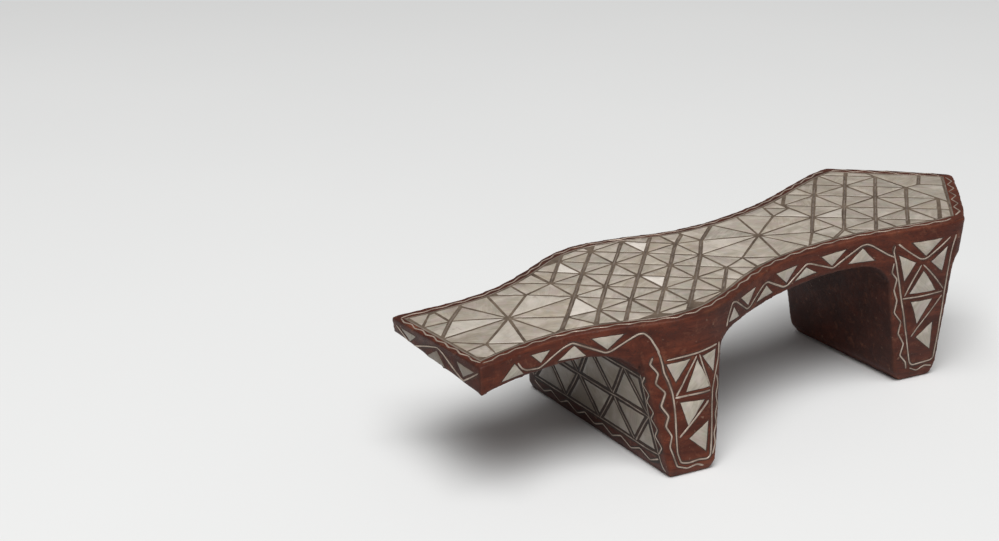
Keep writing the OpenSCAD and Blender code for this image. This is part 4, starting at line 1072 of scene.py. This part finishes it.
for plane_name, tiles, wires, paths, spread in GROUPS:
    plane = PLANES[plane_name]
    bed = Heap(tiles.replace("_tiles", "_mastic"))
    heap = Heap(tiles.replace("_tiles", "_shell"))
    wire = Heap(wires.replace("_wires", "_wire") + "_inlay")
    dim = Heap(wires.replace("_wires", "_wire") + "_inner")
    level = 0.016
    if plane_name == "front":
        slab(bed, plane, np.array([(-40.3, 6.2), (40.3, 6.2), (33.2, 36.0), (-33.2, 36.0)]), R, 0.004, level, 0.2, step=1.4, skirt=0.45, ripple=0.15)
    for g in loose(tiles):
        P = tidy(hull2(plane.uv(g)))
        if len(P) < 3:
            continue
        level += 0.0015
        slab(bed, plane, inset(P, -0.55 if plane_name in ("front", "back") else -0.36), R, 0.006, level, 0.12, step=1.2, skirt=0.45, ripple=0.08)
        # Painted shade: front stilt face chips are darkened, more toward the far side, and toe end chips too; their
        # first channel is set low as well, for grime and shade.
        shade = {"front": -0.56 - 0.36 * float(np.clip((28 - P[:, 0].mean()) / 55, 0, 1)), "toe": -0.78}.get(plane_name, 0.0)
        grime_and_shade = {"front": 0.05, "toe": 0.2}.get(plane_name, 0.60)
        tint = (float(np.clip(R.normal(grime_and_shade, 0.25), 0, 1)), float(R.uniform()), float(R.uniform()), shade * float(R.uniform(0.6, 1.3)))
        slab(heap, plane, inset(P, 0.48) if plane_name == "front" else P, R, 0.03, 0.13, 0.20, step=1.5, tint=tint, jitter=0.16, tilt=0.006, ripple=0.07)
    for P in paths:
        level += 0.0015
        ribbon(bed, plane, P, R, WIRE_W + 2 * spread, level, skirt=0.4, soft=0.5, wobble=0.03, vary=0.35, edge=0.004, taper=1.2, flat=True)
        zig = len(P) > 8 and all(abs(P[i][0] - P[i - 1][0]) < 6 and abs(P[i][1] - P[i - 1][1]) < 6 for i in range(1, len(P)))
        ribbon(dim if plane_name == "front" and not zig else wire, plane, P, R, 0.54, 0.16, soft=0.42 if zig else 0.6, wobble=0.10, vary=0.18, taper=0.6)
    # The front stilt face takes the darker mastic, which carries painted shade.
    bed.make(M_MASTIC_FACE if plane_name == "front" else M_MASTIC_SIDE, None)
    heap.make(M_SHELL, [tiles])
    wire.make(M_WIRE, [wires])
    if dim.V:
        dim.make(M_WIRE_DIM, [wires])

# ------------------------------------------------------------------ floor, light and camera
fm, nt, bs = new_mat("paper")
g = Graph(nt)
co = g.coords()
n = g.noise(co, 3.0, 3.0, 0.5)
nt.links.new(g.ramp(n, [(0.3, (0.776, 0.793, 0.806)), (0.7, (0.791, 0.808, 0.820))]), bs.inputs["Base Color"])
bs.inputs["Roughness"].default_value = 0.9
bs.inputs["Specular IOR Level"].default_value = 0.15
me = bpy.data.meshes.new("floor")
S = 6.0
me.from_pydata([(-S, -S, 0), (S, -S, 0), (S, S, 0), (-S, S, 0)], [], [(0, 1, 2, 3)])
me.materials.append(fm)
floor = bpy.data.objects.new("floor", me)
floor.location.z = -0.0001
bpy.context.scene.collection.objects.link(floor)

world = bpy.data.worlds.new("studio")
bpy.context.scene.world = world
world.use_nodes = True
world.node_tree.nodes["Background"].inputs[0].default_value = (1.0, 0.972, 0.945, 1)
world.node_tree.nodes["Background"].inputs[1].default_value = 0.205


def area(name, loc, target, size, power, color=(1, 1, 1)):
    d = bpy.data.lights.new(name, "AREA")
    d.shape = "RECTANGLE"
    d.size, d.size_y = size
    d.energy = power
    d.color = color
    o = bpy.data.objects.new(name, d)
    o.location = loc
    o.rotation_euler = (Vector(target) - Vector(loc)).to_track_quat("-Z", "Y").to_euler()
    bpy.context.scene.collection.objects.link(o)
    return o


RIGHT = Vector((-0.853372, 0.520971, -0.018588))
UP = Vector((-0.200412, -0.294950, 0.934259))
FWD = Vector((-0.481239, -0.800996, -0.356111))
flat_fwd = Vector((FWD.x, FWD.y, 0)).normalized()
flat_right = Vector((RIGHT.x, RIGHT.y, 0)).normalized()
key = Vector((0.82, 1.08, 3.05))
area("key", key, (0.02, 0, 0.03), (2.3, 2.3), 122.0, (1.0, 0.985, 0.965))

cam = bpy.data.cameras.new("camera")
cam.sensor_fit = "HORIZONTAL"
cam.sensor_width = 36.0
cam.lens = 1600.26 * 36.0 / 999.0
cam.clip_start = 0.01
cam.clip_end = 50
co = bpy.data.objects.new("camera", cam)
M = Matrix.Identity(4)
for i, a in enumerate((RIGHT, UP, -FWD)):
    for r in range(3):
        M[r][i] = a[r]
M.translation = Vector((0.355374, 0.435029, 0.264751))
co.matrix_world = M
bpy.context.scene.collection.objects.link(co)
bpy.context.scene.camera = co
bpy.context.scene.view_settings.view_transform = "Standard"
